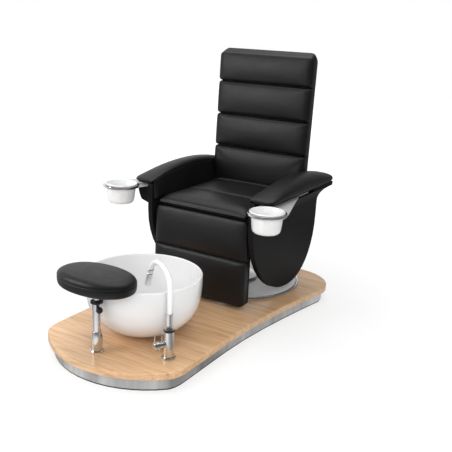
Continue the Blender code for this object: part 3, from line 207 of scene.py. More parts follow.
hideGrain = makeHideGrain(hideLook)
handled = makeHandled(handledLook)


# finishes

toneSpan = (0.3, 0.7)


def addWear(tree, settings):
    place = mappedPlace(tree, settings.get("stretch", (1.0, 1.0, 1.0)))
    return useGroup(tree, handled, place, {"Broad": settings["broad"], "Fine": settings["fine"]})


def setSurface(tree, shader, tint, polish, settings):
    colour = colourRamp(tree, tint, [(toneSpan[0], settings["dark"]), (toneSpan[1], settings["light"])])
    wire(tree, colour, shader.inputs["Base Color"])
    wire(tree, spanValue(tree, polish, *settings["rough"]), shader.inputs["Roughness"])


padLeather = {
    "pebbles": 430.0, "creases": 34.0, "broad": 6.0, "fine": 130.0,
    "rough": (0.36, 0.50), "gloss": 0.36, "bump": 0.30, "bumpDepth": 0.0006,
    "dark": (0.0046, 0.0046, 0.0050), "light": (0.0072, 0.0072, 0.0078),
}


def makeLeather(settings):
    material, tree, shader = startMaterial("blackLeather")
    amounts = {"Pebbles": settings["pebbles"], "Creases": settings["creases"]}
    grain = useGroup(tree, hideGrain, mappedPlace(tree), amounts)
    wear = addWear(tree, settings)
    setSurface(tree, shader, wear.outputs["Smudge"], grain.outputs["Tone"], settings)
    addBump(tree, shader, grain.outputs["Height"], settings)
    setInputs(shader, {"Specular IOR Level": settings["gloss"]})
    return material


blackLeather = makeLeather(padLeather)


oakBoardFinish = {
    "grainTurn": 3.0, "figure": (2.6, 46.0, 46.0), "fibre": (9.0, 210.0, 210.0), "mottle": (2.4, 7.0, 7.0),
    "fibreShare": 0.60, "mottleShare": 0.5, "span": (0.79, 1.30), "rough": (0.40, 0.28),
    "stops": [
        (0.0, (0.43, 0.236, 0.109)), (0.32, (0.595, 0.36, 0.186)),
        (0.60, (0.69, 0.433, 0.24)), (1.0, (0.79, 0.54, 0.333)),
    ],
    "bump": 0.10, "bumpDepth": 0.0004,
    "shader": {"Specular IOR Level": 0.45, "Coat Weight": 0.35, "Coat Roughness": 0.16},
}
oakNoise = {
    "figure": {"Scale": 1.0, "Detail": 6.0, "Roughness": 0.62, "Distortion": 0.9},
    "fibre": {"Scale": 1.0, "Detail": 4.0, "Roughness": 0.7},
    "mottle": {"Scale": 1.0, "Detail": 3.0, "Roughness": 0.55},
}


def makeOak(settings):
    material, tree, shader = startMaterial("oakVeneer")
    turn = (0.0, 0.0, math.radians(settings["grainTurn"]))
    grain = {}
    for layer, amounts in oakNoise.items():
        noise = addNode(tree, "ShaderNodeTexNoise", amounts)
        wire(tree, mappedPlace(tree, settings[layer], turn), noise.inputs["Vector"])
        grain[layer] = noise.outputs["Fac"]
    fine = scaleAdd(tree, grain["fibre"], settings["fibreShare"], grain["figure"])
    streak = scaleAdd(tree, grain["mottle"], settings["mottleShare"], fine)
    share = spanValue(tree, streak, 0.0, 1.0, settings["span"])
    wire(tree, colourRamp(tree, share, settings["stops"]), shader.inputs["Base Color"])
    wire(tree, spanValue(tree, share, *settings["rough"]), shader.inputs["Roughness"])
    addBump(tree, shader, grain["fibre"], settings)
    setInputs(shader, settings["shader"])
    return material


oakVeneer = makeOak(oakBoardFinish)


def makeWorn(name, settings):
    # tint and relief name the mark of the handled group that drives them
    material, tree, shader = startMaterial(name)
    wear = addWear(tree, settings)
    setSurface(tree, shader, wear.outputs[settings["tint"]], wear.outputs["Smudge"], settings)
    addBump(tree, shader, wear.outputs[settings["relief"]], settings)
    setInputs(shader, settings["shader"])
    return material


panelFinish = {
    "broad": 4.0, "fine": 300.0, "rough": (0.50, 0.62),
    "tint": "Smudge", "relief": "Speck", "bump": 0.12, "bumpDepth": 0.0003,
    "dark": (0.0074, 0.0074, 0.0076), "light": (0.0095, 0.0095, 0.0098),
    "shader": {"Specular IOR Level": 0.12},
}
# plinth band: its base colour runs in upright streaks from dark to light grey, a painted reflection of the
# floor laid into the steel's colour
plinthSteelPaintedReflection = {
    "stretch": (1.0, 1.0, 0.05), "broad": 9.0, "fine": 8.0, "rough": (0.24, 0.40),
    "tint": "Speck", "relief": "Speck", "bump": 0.0, "bumpDepth": 0.0003,
    "dark": (0.29, 0.29, 0.29), "light": (0.62, 0.62, 0.62),
    "shader": {"Metallic": 0.60},
}
discSteel = {
    "broad": 6.0, "fine": 90.0, "rough": (0.34, 0.42),
    "tint": "Speck", "relief": "Speck", "bump": 0.02, "bumpDepth": 0.0003,
    "dark": (0.76, 0.76, 0.76), "light": (0.84, 0.84, 0.84),
    "shader": {"Metallic": 0.20},
}
bracketSteel = {
    "stretch": (1.0, 9.0, 1.0), "broad": 12.0, "fine": 120.0, "rough": (0.30, 0.44),
    "tint": "Speck", "relief": "Speck", "bump": 0.05, "bumpDepth": 0.0003,
    "dark": (0.56, 0.56, 0.57), "light": (0.66, 0.66, 0.67),
    "shader": {"Metallic": 0.35},
}
tapChrome = {
    "broad": 22.0, "fine": 300.0, "rough": (0.05, 0.13),
    "tint": "Speck", "relief": "Speck", "bump": 0.02, "bumpDepth": 0.0003,
    "dark": (0.66, 0.66, 0.67), "light": (0.76, 0.76, 0.77),
    "shader": {"Metallic": 1.0},
}
basinGlaze = {
    "broad": 8.0, "fine": 160.0, "rough": (0.10, 0.18),
    "tint": "Smudge", "relief": "Smudge", "bump": 0.03, "bumpDepth": 0.002,
    "dark": (0.775, 0.774, 0.776), "light": (0.800, 0.800, 0.803),
    "shader": {"Specular IOR Level": 0.5, "Coat Weight": 0.4, "Coat Roughness": 0.06},
}
tubePlastic = {
    "broad": 20.0, "fine": 160.0, "rough": (0.18, 0.30),
    "tint": "Smudge", "relief": "Smudge", "bump": 0.02, "bumpDepth": 0.002,
    "dark": (0.84, 0.85, 0.86), "light": (0.87, 0.88, 0.88),
    "shader": {"Specular IOR Level": 0.5, "Coat Weight": 0.2, "Coat Roughness": 0.06},
}
rubberFinish = {
    "broad": 30.0, "fine": 500.0, "rough": (0.40, 0.60),
    "tint": "Speck", "relief": "Speck", "bump": 0.15, "bumpDepth": 0.0003,
    "dark": (0.010, 0.010, 0.010), "light": (0.016, 0.016, 0.016),
    "shader": {},
}
satinBlackBoard = makeWorn("satinBlackBoard", panelFinish)
plinthPaintedReflection = makeWorn("plinthPaintedReflection", plinthSteelPaintedReflection)
polishedDisc = makeWorn("polishedDisc", discSteel)
bracketMetal = makeWorn("bracketMetal", bracketSteel)
brightChrome = makeWorn("brightChrome", tapChrome)
whiteGlaze = makeWorn("whiteGlaze", basinGlaze)
whiteTube = makeWorn("whiteTube", tubePlastic)
blackRubber = makeWorn("blackRubber", rubberFinish)

finishOf = {
    "oak_board": oakVeneer, "brushed_steel": bracketMetal, "chrome": brightChrome,
    "black_leather": blackLeather, "black_panel": satinBlackBoard, "black_rubber": blackRubber,
    "white_ceramic": whiteGlaze, "white_plastic": whiteTube,
}
ownFinish = {
    "plinth_band": plinthPaintedReflection, "pedestal_column": brightChrome, "turntable": brightChrome,
    "leg_hinge_rod": satinBlackBoard, "back_hinge_rod": satinBlackBoard, "seat_frame": satinBlackBoard,
}
# every piece that isn't listed is chrome
slotPieces = {
    "oak_board": ["platform_board"],
    "white_ceramic": ["foot_basin", "manicure_bowl_left", "manicure_bowl_right"],
    "white_plastic": ["spout_tube"],
    "black_rubber": ["plinth_foot_strip", "tap_seal_ring", "footrest_bush", "clamp_knob"],
    "black_panel": [
        "footrest_plate", "leg_rest_board", "side_panel_left", "side_panel_right",
        "armrest_board_left", "armrest_board_right",
    ],
    "black_leather": ["backrest_shell"],
    "brushed_steel": [
        "plinth_band", "pedestal_column", "turntable", "seat_frame", "back_hinge_rod", "leg_hinge_rod",
        "bowl_bracket_left", "bowl_bracket_right", "bracket_bolt_left", "bracket_bolt_right",
    ],
}
slotOf = {nodeName: slot for slot, names in slotPieces.items() for nodeName in names}
for nodeName, node in nodes.items():
    look = ownFinish.get(nodeName, finishOf[slotOf.get(nodeName, "chrome")])
    for slot in node.material_slots:
        slot.material = look
print("finishes set on the fixed pieces")


# rigid pieces, merged copies with eased edges and smooth round faces

easedEdges = {
    "platform_board": 0.003, "plinth_band": 0.001, "plinth_foot_strip": 0.001,
    "pedestal_column": 0.001, "turntable": 0.001, "foot_basin": 0.004, "basin_drain": 0.001,
    "tap_flange": 0.001, "tap_body": 0.001, "tap_seal_ring": 0.0005,
    "tap_lever": 0.0008, "diverter_pin": 0.0004,
    "spout_collar": 0.0008, "spout_sleeve": 0.0008, "spout_tube": 0.0008, "spray_nozzle": 0.0006,
    "footrest_lower_tube": 0.0008, "footrest_middle_tube": 0.0008,
    "footrest_collar": 0.001, "footrest_bush": 0.0006,
    "footrest_stem": 0.0008, "clamp_knob": 0.0012, "footrest_plate": 0.001,
    "bowl_ring_left": 0.0008, "bowl_ring_right": 0.0008,
    "bowl_bracket_left": 0.0008, "bowl_bracket_right": 0.0008,
    "manicure_bowl_left": 0.0015, "manicure_bowl_right": 0.0015,
    "side_panel_left": 0.0015, "side_panel_right": 0.0015,
    "armrest_board_left": 0.001, "armrest_board_right": 0.001,
    "leg_rest_board": 0.001, "backrest_shell": 0.006,
}
mergeGap = 0.00005
flatAngle = math.radians(0.6)
creaseAngle = math.radians(38.0)


def smoothMesh(name, bm, material):
    mesh = bpy.data.meshes.new(name)
    bm.to_mesh(mesh)
    bm.free()
    mesh.materials.append(material)
    for face in mesh.polygons:
        face.use_smooth = True
    return mesh


def makeEased(nodeName, ease):
    source = nodes[nodeName]
    bm = bmesh.new()
    bm.from_mesh(source.data)
    bmesh.ops.remove_doubles(bm, verts=bm.verts, dist=mergeGap)
    bmesh.ops.dissolve_limit(bm, angle_limit=flatAngle, verts=bm.verts, edges=bm.edges)
    mesh = smoothMesh(nodeName + "_eased", bm, source.material_slots[0].material)
    mesh.set_sharp_from_angle(angle=creaseAngle)
    piece = bpy.data.objects.new(nodeName + "_eased", mesh)
    scene.collection.objects.link(piece)
    bevel = piece.modifiers.new("ease", "BEVEL")
    bevel.width = ease
    bevel.segments = 3
    bevel.limit_method = "ANGLE"
    bevel.angle_limit = creaseAngle
    bevel.harden_normals = True
    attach(piece, source["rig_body"])
    slotOf.get(nodeName, "chrome")
    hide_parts(nodeName)


for nodeName, ease in easedEdges.items():
    makeEased(nodeName, ease)
print("rigid pieces eased:", len(easedEdges))


# soft pads

circle = 2.0  # the power of a plain round edge
fullRound = 2.2


def smoothStep(low, high, value):
    share = min(1.0, max(0.0, (value - low) / (high - low)))
    return share * share * (3.0 - 2.0 * share)


def rollOff(distance, width, power=fullRound):
    share = 1.0 - min(1.0, max(0.0, distance / width))
    return (1.0 - share ** power) ** (1.0 / power)


def fromFoot(foot, share):
    return foot + (1.0 - foot) * share


nearCuts = (0.0015, 0.004, 0.008, 0.013, 0.019, 0.026)
leastCut = 0.001
clearShare = 0.4


def cutPlaces(low, high, lines, step):
    # close together beside edges and seams, wider between them
    marks = [low, *lines, high]
    places = [mark + side * gap for mark in marks for gap in nearCuts for side in (-1.0, 1.0)] + list(lines)
    count = max(2, round((high - low) / step))
    for i in range(1, count):
        place = low + (high - low) * i / count
        if min(abs(place - mark) for mark in marks) > nearCuts[-1] + clearShare * step:
            places.append(place)
    kept = []
    for place in sorted(places):
        if low + leastCut < place < high - leastCut and (not kept or place - kept[-1] > leastCut):
            kept.append(place)
    return kept


def slicePad(bm, axis, places):
    normal = Vector((0.0, 0.0, 0.0))
    normal[axis] = 1.0
    for place in places:
        geom = bm.verts[:] + bm.edges[:] + bm.faces[:]
        bmesh.ops.bisect_plane(bm, geom=geom, dist=1e-6, plane_co=normal * place, plane_no=normal)


def roundCorner(a, b, halfA, halfB, corner):
    # pulls the corners of the square grid in to a rounded outline
    overA = abs(a) - (halfA - corner)
    overB = abs(b) - (halfB - corner)
    if overA <= 0.0 or overB <= 0.0:
        return a, b
    pulledA = overA * math.sqrt(1.0 - 0.5 * (overB / corner) ** 2)
    pulledB = overB * math.sqrt(1.0 - 0.5 * (overA / corner) ** 2)
    return math.copysign(halfA - corner + pulledA, a), math.copysign(halfB - corner + pulledB, b)


def insetOf(a, b, halfA, halfB, corner):
    # how far a point lies inside the pad's rounded outline
    overA = abs(a) - halfA + corner
    overB = abs(b) - halfB + corner
    return corner - math.hypot(max(overA, 0.0), max(overB, 0.0)) - min(max(overA, overB), 0.0)


def outwardOf(a, b, halfA, halfB, corner):
    overA = abs(a) - halfA + corner
    overB = abs(b) - halfB + corner
    if overA > 0.0 and overB > 0.0:
        way = Vector((math.copysign(overA, a), math.copysign(overB, b)))
        return way.normalized()
    if overA > overB:
        return Vector((math.copysign(1.0, a), 0.0))
    return Vector((0.0, math.copysign(1.0, b)))


sideReach = 0.9  # the part of the corner over which the pull on the sides fades


def padMesh(settings, topOf, floorOf, sideOf, heldAt):
    # across, along and thickness share go in, the shaped pad comes out in its own axes
    halfA, halfB, corner = settings["halfAcross"], settings["halfAlong"], settings["corner"]
    bm = bmesh.new()
    bmesh.ops.create_cube(bm, size=2.0)
    bmesh.ops.translate(bm, vec=(0.0, 0.0, 1.0), verts=bm.verts)
    bmesh.ops.scale(bm, vec=(halfA, halfB, 0.5), verts=bm.verts)
    slicePad(bm, 0, cutPlaces(-halfA, halfA, settings.get("seamsAcross", ()), settings["step"]))
    slicePad(bm, 1, cutPlaces(-halfB, halfB, settings.get("seamsAlong", ()), settings["step"]))
    slicePad(bm, 2, settings["layers"])
    held = bm.verts.layers.deform.verify()
    drawn = sideReach * corner
    for vert in bm.verts:
        a, b = roundCorner(vert.co.x, vert.co.y, halfA, halfB, corner)
        share = vert.co.z
        inset = insetOf(a, b, halfA, halfB, corner)
        low = floorOf(b)
        high = topOf(a, b, inset)
        if inset < drawn:
            fade = 1.0 - max(inset, 0.0) / drawn
            push = outwardOf(a, b, halfA, halfB, corner) * sideOf(b, share) * fade
            a += push.x
            b += push.y
        if "topFall" in settings:
            over = max(0.0, b - settings["fallFrom"]) / (halfB - settings["fallFrom"])
            b -= settings["topFall"] * share * over * over
        vert[held][0] = heldAt(b, share, inset)
        vert.co = (a, b, low + share * (high - low))
    return bm


def newPiece(name, bm, material, body, slot, *replaced):
    bmesh.ops.recalc_face_normals(bm, faces=bm.faces)
    piece = bpy.data.objects.new(name, smoothMesh(name, bm, material))
    scene.collection.objects.link(piece)
    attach(piece, body)
    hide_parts(*replaced)
    return piece


clothSolver = {"quality": 5, "mass": 0.3, "shear": 5.0, "frames": 20}


def swell(piece, settings):
    # blows the pad up with the cloth solver while its back and seams are held
    group = piece.vertex_groups.get("held") or piece.vertex_groups.new(name="held")
    cloth = piece.modifiers.new("swell", "CLOTH")
    solver = cloth.settings
    solver.quality = clothSolver["quality"]
    solver.mass = clothSolver["mass"]
    solver.tension_stiffness = settings["stretch"]
    solver.compression_stiffness = settings["stretch"]
    solver.shear_stiffness = clothSolver["shear"]
    solver.bending_stiffness = settings["bend"]
    solver.use_pressure = True
    solver.uniform_pressure_force = settings["pressure"]
    solver.vertex_group_mass = group.name
    solver.effector_weights.gravity = 0.0
    cloth.collision_settings.use_collision = False
    cloth.point_cache.frame_start = 1
    cloth.point_cache.frame_end = clothSolver["frames"]
    for step in range(1, clothSolver["frames"] + 1):
        scene.frame_set(step)
    shaped = piece.evaluated_get(bpy.context.evaluated_depsgraph_get())
    puffed = [vert.co.copy() for vert in shaped.data.vertices]
    piece.modifiers.remove(cloth)
    scene.frame_set(1)
    moves = [there - vert.co for vert, there in zip(piece.data.vertices, puffed)]
    most = max(move.length for move in moves)
    ease = min(1.0, settings["cap"] / max(most, 1e-6))
    for vert, move in zip(piece.data.vertices, moves):
        vert.co += move * ease
    print(piece.name, "swelled, most", round(most * ease * 1000.0, 1), "mm of", round(most * 1000.0, 1))


def soften(piece):
    subdivide = piece.modifiers.new("soften", "SUBSURF")
    subdivide.levels = subdivide.render_levels = 1


def finishPad(piece, settings):
    swell(piece, settings)
    soften(piece)


backHold = {"share": 0.02, "inset": 0.005}
seamHold = {"seam": 0.002, "inset": 0.003}


def heldBack(b, share, inset):
    return 1.0 if share < backHold["share"] or inset < backHold["inset"] else 0.0


def heldSewn(settings, gap, share, inset):
    sewn = gap < seamHold["seam"] or inset < seamHold["inset"]
    return 1.0 if share < settings["heldShare"] or sewn else 0.0


def flatFloor(b):
    return 0.0


def grooveAt(settings, gap):
    return settings["groove"] * (1.0 - rollOff(gap, settings["grooveRound"], circle))


def sewnSide(settings, gap, share):
    nick = settings["notch"] * (1.0 - rollOff(gap, settings["notchRound"]))
    return settings["barrel"] * (math.sin(math.pi * share) - 1.0) - nick


def standUp(settings):
    # along becomes height and the thickness faces the front
    return Matrix((
        (1, 0, 0, 0), (0, 0, -1, settings["back"]), (0, 1, 0, settings["middle"]), (0, 0, 0, 1),
    ))


# backrest, four sewn channels on a plain border

backPad = {
    "halfAcross": 0.2690, "halfAlong": 0.3575, "corner": 0.034, "step": 0.0135,
    "middle": 0.9125, "back": 0.625, "lean": 2.0, "hinge": (0.0, 0.643, 0.556),
    "channels": 4, "pitch": 0.1725, "border": 0.037, "rise": 0.010, "bolster": 0.006,
    "endRound": 0.034, "tipRound": 0.012, "groove": 0.022, "grooveRound": 0.016,
    "notch": 0.011, "notchRound": 0.013, "barrel": 0.0015, "topFall": 0.024, "fallFrom": 0.2025,
    "layers": (0.2, 0.4, 0.6, 0.8), "heldShare": 0.45,
    "stretch": 20.0, "bend": 0.5, "pressure": 3.0, "cap": 0.004, "fill": 0.6,
}


def makeBackPad(settings):
    # the lowest channel runs on behind the seat
    pitch = settings["pitch"]
    seams = [settings["halfAlong"] - pitch * i for i in range(settings["channels"] - 1, 0, -1)]
    lastPlace = settings["channels"] - 0.001

    def toSeam(b):
        return min(abs(b - seam) for seam in seams)

    def topOf(a, b, inset):
        place = min((settings["halfAlong"] - b) / pitch, lastPlace)
        fromMiddle = 2.0 * (place % 1.0) - 1.0
        height = settings["rise"] + settings["bolster"] * (1.0 - fromMiddle * fromMiddle)
        height *= rollOff(settings["halfAcross"] - abs(a), settings["endRound"], circle)
        height *= rollOff(settings["halfAlong"] - b, settings["tipRound"])
        return settings["border"] + height - grooveAt(settings, toSeam(b))

    def sideOf(b, share):
        return sewnSide(settings, toSeam(b), share)

    def heldAt(b, share, inset):
        return heldSewn(settings, toSeam(b), share, inset)

    bm = padMesh(dict(settings, seamsAlong=seams), topOf, flatFloor, sideOf, heldAt)
    hinge = Vector(settings["hinge"])
    turn = Matrix.Rotation(math.radians(-settings["lean"]), 4, "X")
    lean = Matrix.Translation(hinge) @ turn @ Matrix.Translation(-hinge)
    bmesh.ops.transform(bm, matrix=lean @ standUp(settings), verts=bm.verts)
    pad = newPiece("backrest_upholstery", bm, blackLeather, "backrest", "black_leather", "backrest_cushion")
    finishPad(pad, settings)


makeBackPad(backPad)


# leg rest, two sewn sections, each with its border, rise, bolster and edge round

legPad = {
    "halfAcross": 0.2605, "halfAlong": 0.2115, "corner": 0.030, "step": 0.0135,
    "middle": 0.314, "back": 0.075, "seamsAlong": (0.016,),
    "lower": (0.029, 0.007, 0.008, 0.014), "upper": (0.026, 0.006, 0.012, 0.016),
    "endRound": 0.045, "blend": 0.014, "groove": 0.014, "grooveRound": 0.014,
    "notch": 0.007, "notchRound": 0.010, "barrel": 0.0015, "layers": (0.3, 0.6, 0.8), "heldShare": 0.3,
    "stretch": 20.0, "bend": 0.5, "pressure": 3.0, "cap": 0.003, "fill": 0.6,
}


def makeLegPad(settings):
    seam = settings["seamsAlong"][0]
    atSeam = 0.5 * (settings["upper"][0] + settings["lower"][0])

    def topOf(a, b, inset):
        edge = settings["halfAlong"] if b > seam else -settings["halfAlong"]
        fromMiddle = 2.0 * (b - seam) / (edge - seam) - 1.0
        border, rise, bolster, tipRound = settings["upper"] if b > seam else settings["lower"]
        height = rise + bolster * (1.0 - fromMiddle * fromMiddle)
        ends = rollOff(settings["halfAcross"] - abs(a), settings["endRound"], circle)
        height *= ends * rollOff(inset, tipRound)
        border = atSeam + (border - atSeam) * smoothStep(0.0, settings["blend"], abs(b - seam))
        return border + height - grooveAt(settings, abs(b - seam))

    def sideOf(b, share):
        return sewnSide(settings, abs(b - seam), share)

    def heldAt(b, share, inset):
        return heldSewn(settings, abs(b - seam), share, inset)

    bm = padMesh(settings, topOf, flatFloor, sideOf, heldAt)
    bmesh.ops.transform(bm, matrix=standUp(settings), verts=bm.verts)
    pad = newPiece("leg_rest_upholstery", bm, blackLeather, "leg_rest", "black_leather", "leg_rest_cushion")
    finishPad(pad, settings)


makeLegPad(legPad)


# seat, a front roll and a rear cushion

seatFrontPad = {
    "name": "seat_front_upholstery", "node": "seat_cushion_front", "front": 0.0462, "rear": 0.2684,
    "halfAcross": 0.2454, "corner": 0.012, "step": 0.0135,
    "base": 0.4869, "rollBase": 0.545, "top": 0.5780, "crown": 0.006, "crownFall": 0.6,
    "frontRound": 0.066, "rearRound": 0.013, "sideRound": 0.060,
    "noseEnd": 0.113, "noseBase": 0.5400, "noseSoft": 0.002, "bulge": 0.001, "layers": (0.25, 0.5, 0.75),
    "stretch": 20.0, "bend": 0.5, "pressure": 1.2, "cap": 0.004, "fill": 0.6,
}
seatRearPad = {
    "name": "seat_rear_upholstery", "node": "seat_cushion_rear", "front": 0.2716, "rear": 0.5718,
    "halfAcross": 0.2454, "corner": 0.012, "step": 0.0135,
    "base": 0.4869, "rollBase": 0.551, "top": 0.5780, "crown": 0.006, "crownFall": 0.6,
    "frontRound": 0.013, "rearRound": 0.009, "sideRound": 0.055,
    "beadFrom": 0.534, "bead": 0.005, "beadRound": 0.016, "crease": 0.006, "creaseRound": 0.010,
    "bulge": 0.001, "layers": (0.25, 0.5, 0.75),
    "stretch": 20.0, "bend": 0.5, "pressure": 1.2, "cap": 0.004, "fill": 0.6,
}


def makeSeatPad(settings):
    middle = 0.5 * (settings["front"] + settings["rear"])
    halfAcross, halfAlong = settings["halfAcross"], 0.5 * (settings["rear"] - settings["front"])
    line = settings["noseEnd"] if "noseEnd" in settings else settings["beadFrom"]
    shape = dict(settings, halfAlong=halfAlong, seamsAlong=(line - middle,))

    def topOf(a, b, inset):
        along = b / halfAlong
        roll = rollOff(b + halfAlong, settings["frontRound"], circle)
        roll *= rollOff(halfAlong - b, settings["rearRound"])
        roll *= rollOff(halfAcross - abs(a), settings["sideRound"], circle)
        crown = settings["crown"] * (1.0 - (a / halfAcross) ** 2)
        crown *= 1.0 - settings["crownFall"] * along * along
        if "beadFrom" in settings:
            gap = middle + b - settings["beadFrom"]
            crown -= settings["crease"] * (1.0 - rollOff(abs(gap), settings["creaseRound"]))
            if gap > 0.0:
                crown += settings["bead"] * rollOff(gap, settings["beadRound"])
        return settings["rollBase"] + (settings["top"] - settings["rollBase"] + crown) * roll

    def floorOf(b):
        if "noseEnd" not in settings:
            return settings["base"]
        soft = settings["noseSoft"]
        drop = smoothStep(settings["noseEnd"] - soft, settings["noseEnd"] + soft, middle + b)
        return settings["noseBase"] + (settings["base"] - settings["noseBase"]) * drop

    def sideOf(b, share):
        return settings["bulge"] * (math.sin(math.pi * share) - 1.0)

    bm = padMesh(shape, topOf, floorOf, sideOf, heldBack)
    bmesh.ops.translate(bm, vec=(0.0, middle, 0.0), verts=bm.verts)
    pad = newPiece(settings["name"], bm, blackLeather, "chair", "black_leather", settings["node"])
    finishPad(pad, settings)


makeSeatPad(seatFrontPad)
makeSeatPad(seatRearPad)


# armrests, arched pads that slope to the outside

armPad = {
    "inner": 0.2704, "outer": 0.3879, "front": 0.0222, "rear": 0.7478, "base": 0.6307,
    "corner": 0.012, "step": 0.0135,
    "frontRise": 0.012, "arch": 0.068, "archPower": 2.1, "rearRise": 0.026, "turnLine": 0.438,
    "innerShare": 0.25, "innerFoot": 0.58, "outerShare": 0.54, "outerFoot": 0.40,
    "frontFoot": 0.70, "frontRound": 0.012, "rearFoot": 0.55, "rearRound": 0.024,
    "frontWidth": 0.62, "frontTaper": 0.044, "rearWidth": 0.50, "rearTaper": 0.073,
    "tuck": 0.004, "tuckShare": 0.3, "layers": (0.12, 0.3, 0.6, 0.85),
    "stretch": 24.0, "bend": 0.6, "pressure": 2.5, "cap": 0.002, "fill": 0.5,
}


def armRise(y, settings):
    share = (y - settings["front"]) / (settings["rear"] - settings["front"])
    ends = settings["frontRise"] + (settings["rearRise"] - settings["frontRise"]) * share
    lift = settings["arch"] - 0.5 * (settings["frontRise"] + settings["rearRise"])
    return ends + lift * (1.0 - abs(2.0 * share - 1.0) ** settings["archPower"])


def makeArmPad(word, side, settings):
    halfAcross = 0.5 * (settings["outer"] - settings["inner"])
    halfAlong = 0.5 * (settings["rear"] - settings["front"])
    middleX = 0.5 * (settings["outer"] + settings["inner"])
    middleY = 0.5 * (settings["rear"] + settings["front"])
    shape = dict(settings, halfAcross=halfAcross, halfAlong=halfAlong)

    def topOf(a, b, inset):
        u = (a + halfAcross) / (2.0 * halfAcross)
        inner = fromFoot(settings["innerFoot"], rollOff(u, settings["innerShare"], circle))
        outer = fromFoot(settings["outerFoot"], rollOff(1.0 - u, settings["outerShare"], circle))
        front = fromFoot(settings["frontFoot"], rollOff(b + halfAlong, settings["frontRound"]))
        rear = fromFoot(settings["rearFoot"], rollOff(halfAlong - b, settings["rearRound"]))
        return armRise(b + middleY, settings) * min(inner, outer) * (front * rear)

    def sideOf(b, share):
        return -settings["tuck"] * (1.0 - smoothStep(0.0, settings["tuckShare"], share))

    bm = padMesh(shape, topOf, flatFloor, sideOf, heldBack)
    for vert in bm.verts:
        # the pad narrows towards the panel at its front and to a tip at its rear
        frontGap = vert.co.y + halfAlong
        rearGap = halfAlong - vert.co.y
        front = fromFoot(settings["frontWidth"], rollOff(frontGap, settings["frontTaper"], circle))
        rear = fromFoot(settings["rearWidth"], rollOff(rearGap, settings["rearTaper"], circle))
        pin = -halfAcross if vert.co.y + middleY < settings["turnLine"] else 0.0
        vert.co.x = pin + (vert.co.x - pin) * front * rear
    bmesh.ops.translate(bm, vec=(middleX, middleY, settings["base"]), verts=bm.verts)
    bmesh.ops.scale(bm, vec=(side, 1.0, 1.0), verts=bm.verts)
    name = "armrest_upholstery_" + word
    pad = newPiece(name, bm, blackLeather, "chair", "black_leather", "armrest_pad_" + word)
    finishPad(pad, settings)


innerPad = {
    "face": 0.2486, "back": 0.2696, "front": 0.0365, "rear": 0.5690, "low": 0.4870,
    "frontLow": 0.5522, "stepAt": 0.1120, "stepSoft": 0.0015,
    "halfAlong": 0.09, "corner": 0.010, "step": 0.0135,
    "edgeFoot": 0.45, "edgeRound": 0.020, "frontDraw": 0.45, "frontRound": 0.026,
    "slopeFrom": 0.570, "slopePower": 1.5, "lip": 0.003, "climb": 0.64, "armSeat": 0.630,
    "layers": (0.5, 0.8),
    "stretch": 24.0, "bend": 0.6, "pressure": 2.0, "cap": 0.0012, "fill": 0.5,
}


def makeInnerPad(word, side, settings):
    halfAcross = 0.5 * (settings["rear"] - settings["front"])
    middleY = 0.5 * (settings["rear"] + settings["front"])
    halfAlong, stepAt = settings["halfAlong"], settings["stepAt"]
    shape = dict(settings, halfAcross=halfAcross, seamsAcross=(stepAt - middleY,))
    full = settings["back"] - settings["face"]

    def topOf(a, b, inset):
        edge = min(a + halfAcross, b + halfAlong)
        return fromFoot(settings["edgeFoot"], rollOff(edge, settings["edgeRound"]))

    bm = padMesh(shape, topOf, flatFloor, lambda b, share: 0.0, heldBack)
    for vert in bm.verts:
        across, along, depth = vert.co
        y = middleY + across
        step = smoothStep(stepAt - settings["stepSoft"], stepAt + settings["stepSoft"], y)
        low = settings["frontLow"] + (settings["low"] - settings["frontLow"]) * step
        high = settings["armSeat"] + settings["climb"] * armRise(y, armPad)
        z = low + (high - low) * (along + halfAlong) / (2.0 * halfAlong)
        slope = min(1.0, max(0.0, (z - settings["slopeFrom"]) / (high - settings["slopeFrom"])))
        thick = full + (settings["lip"] - full) * slope ** settings["slopePower"]
        thick *= fromFoot(settings["frontDraw"], rollOff(y - settings["front"], settings["frontRound"]))
        vert.co = (side * (settings["back"] - depth * thick), y, z)
    name = "arm_side_upholstery_" + word
    pad = newPiece(name, bm, blackLeather, "chair", "black_leather", "arm_inner_pad_" + word)
    finishPad(pad, settings)


for word, side in (("left", 1.0), ("right", -1.0)):
    makeArmPad(word, side, armPad)
    makeInnerPad(word, side, innerPad)


# footrest pad, an oval turned from its profile with a seam round the side

footPad = {
    "centre": (-0.028, -0.655), "halfLength": 0.1798, "halfDepth": 0.1158, "roundness": 2.16, "steps": 112,
    "low": 0.3612, "high": 0.4305, "seam": 0.3980, "shoulder": 0.72, "shoulderTurns": 9, "edge": 0.988,
    "under": [
        (0.0, 0.0), (0.30, 0.0), (0.60, 0.0), (0.80, 0.0), (0.88, 0.0),
        (0.93, 0.0015), (0.958, 0.005), (0.974, 0.010), (0.984, 0.017),
    ],
    "seamLip": [(0.0, 0.004), (0.003, 0.0015), (0.018, 0.0003)],
    "crown": 0.0040, "crownPower": 2.4, "crownParts": (0.92, 0.80, 0.66, 0.50, 0.34, 0.17, 0.0), "fill": 0.6,
}


def turnProfile(profile, steps):
    bm = bmesh.new()
    points = [bm.verts.new((radius, 0.0, height)) for radius, height in profile]
    lines = [bm.edges.new(pair) for pair in zip(points, points[1:])]
    bmesh.ops.spin(
        bm, geom=points + lines, cent=(0.0, 0.0, 0.0), axis=(0.0, 0.0, 1.0), angle=math.radians(360.0),
        steps=steps, use_merge=True,
    )
    bmesh.ops.remove_doubles(bm, verts=bm.verts, dist=mergeGap)
    return bm


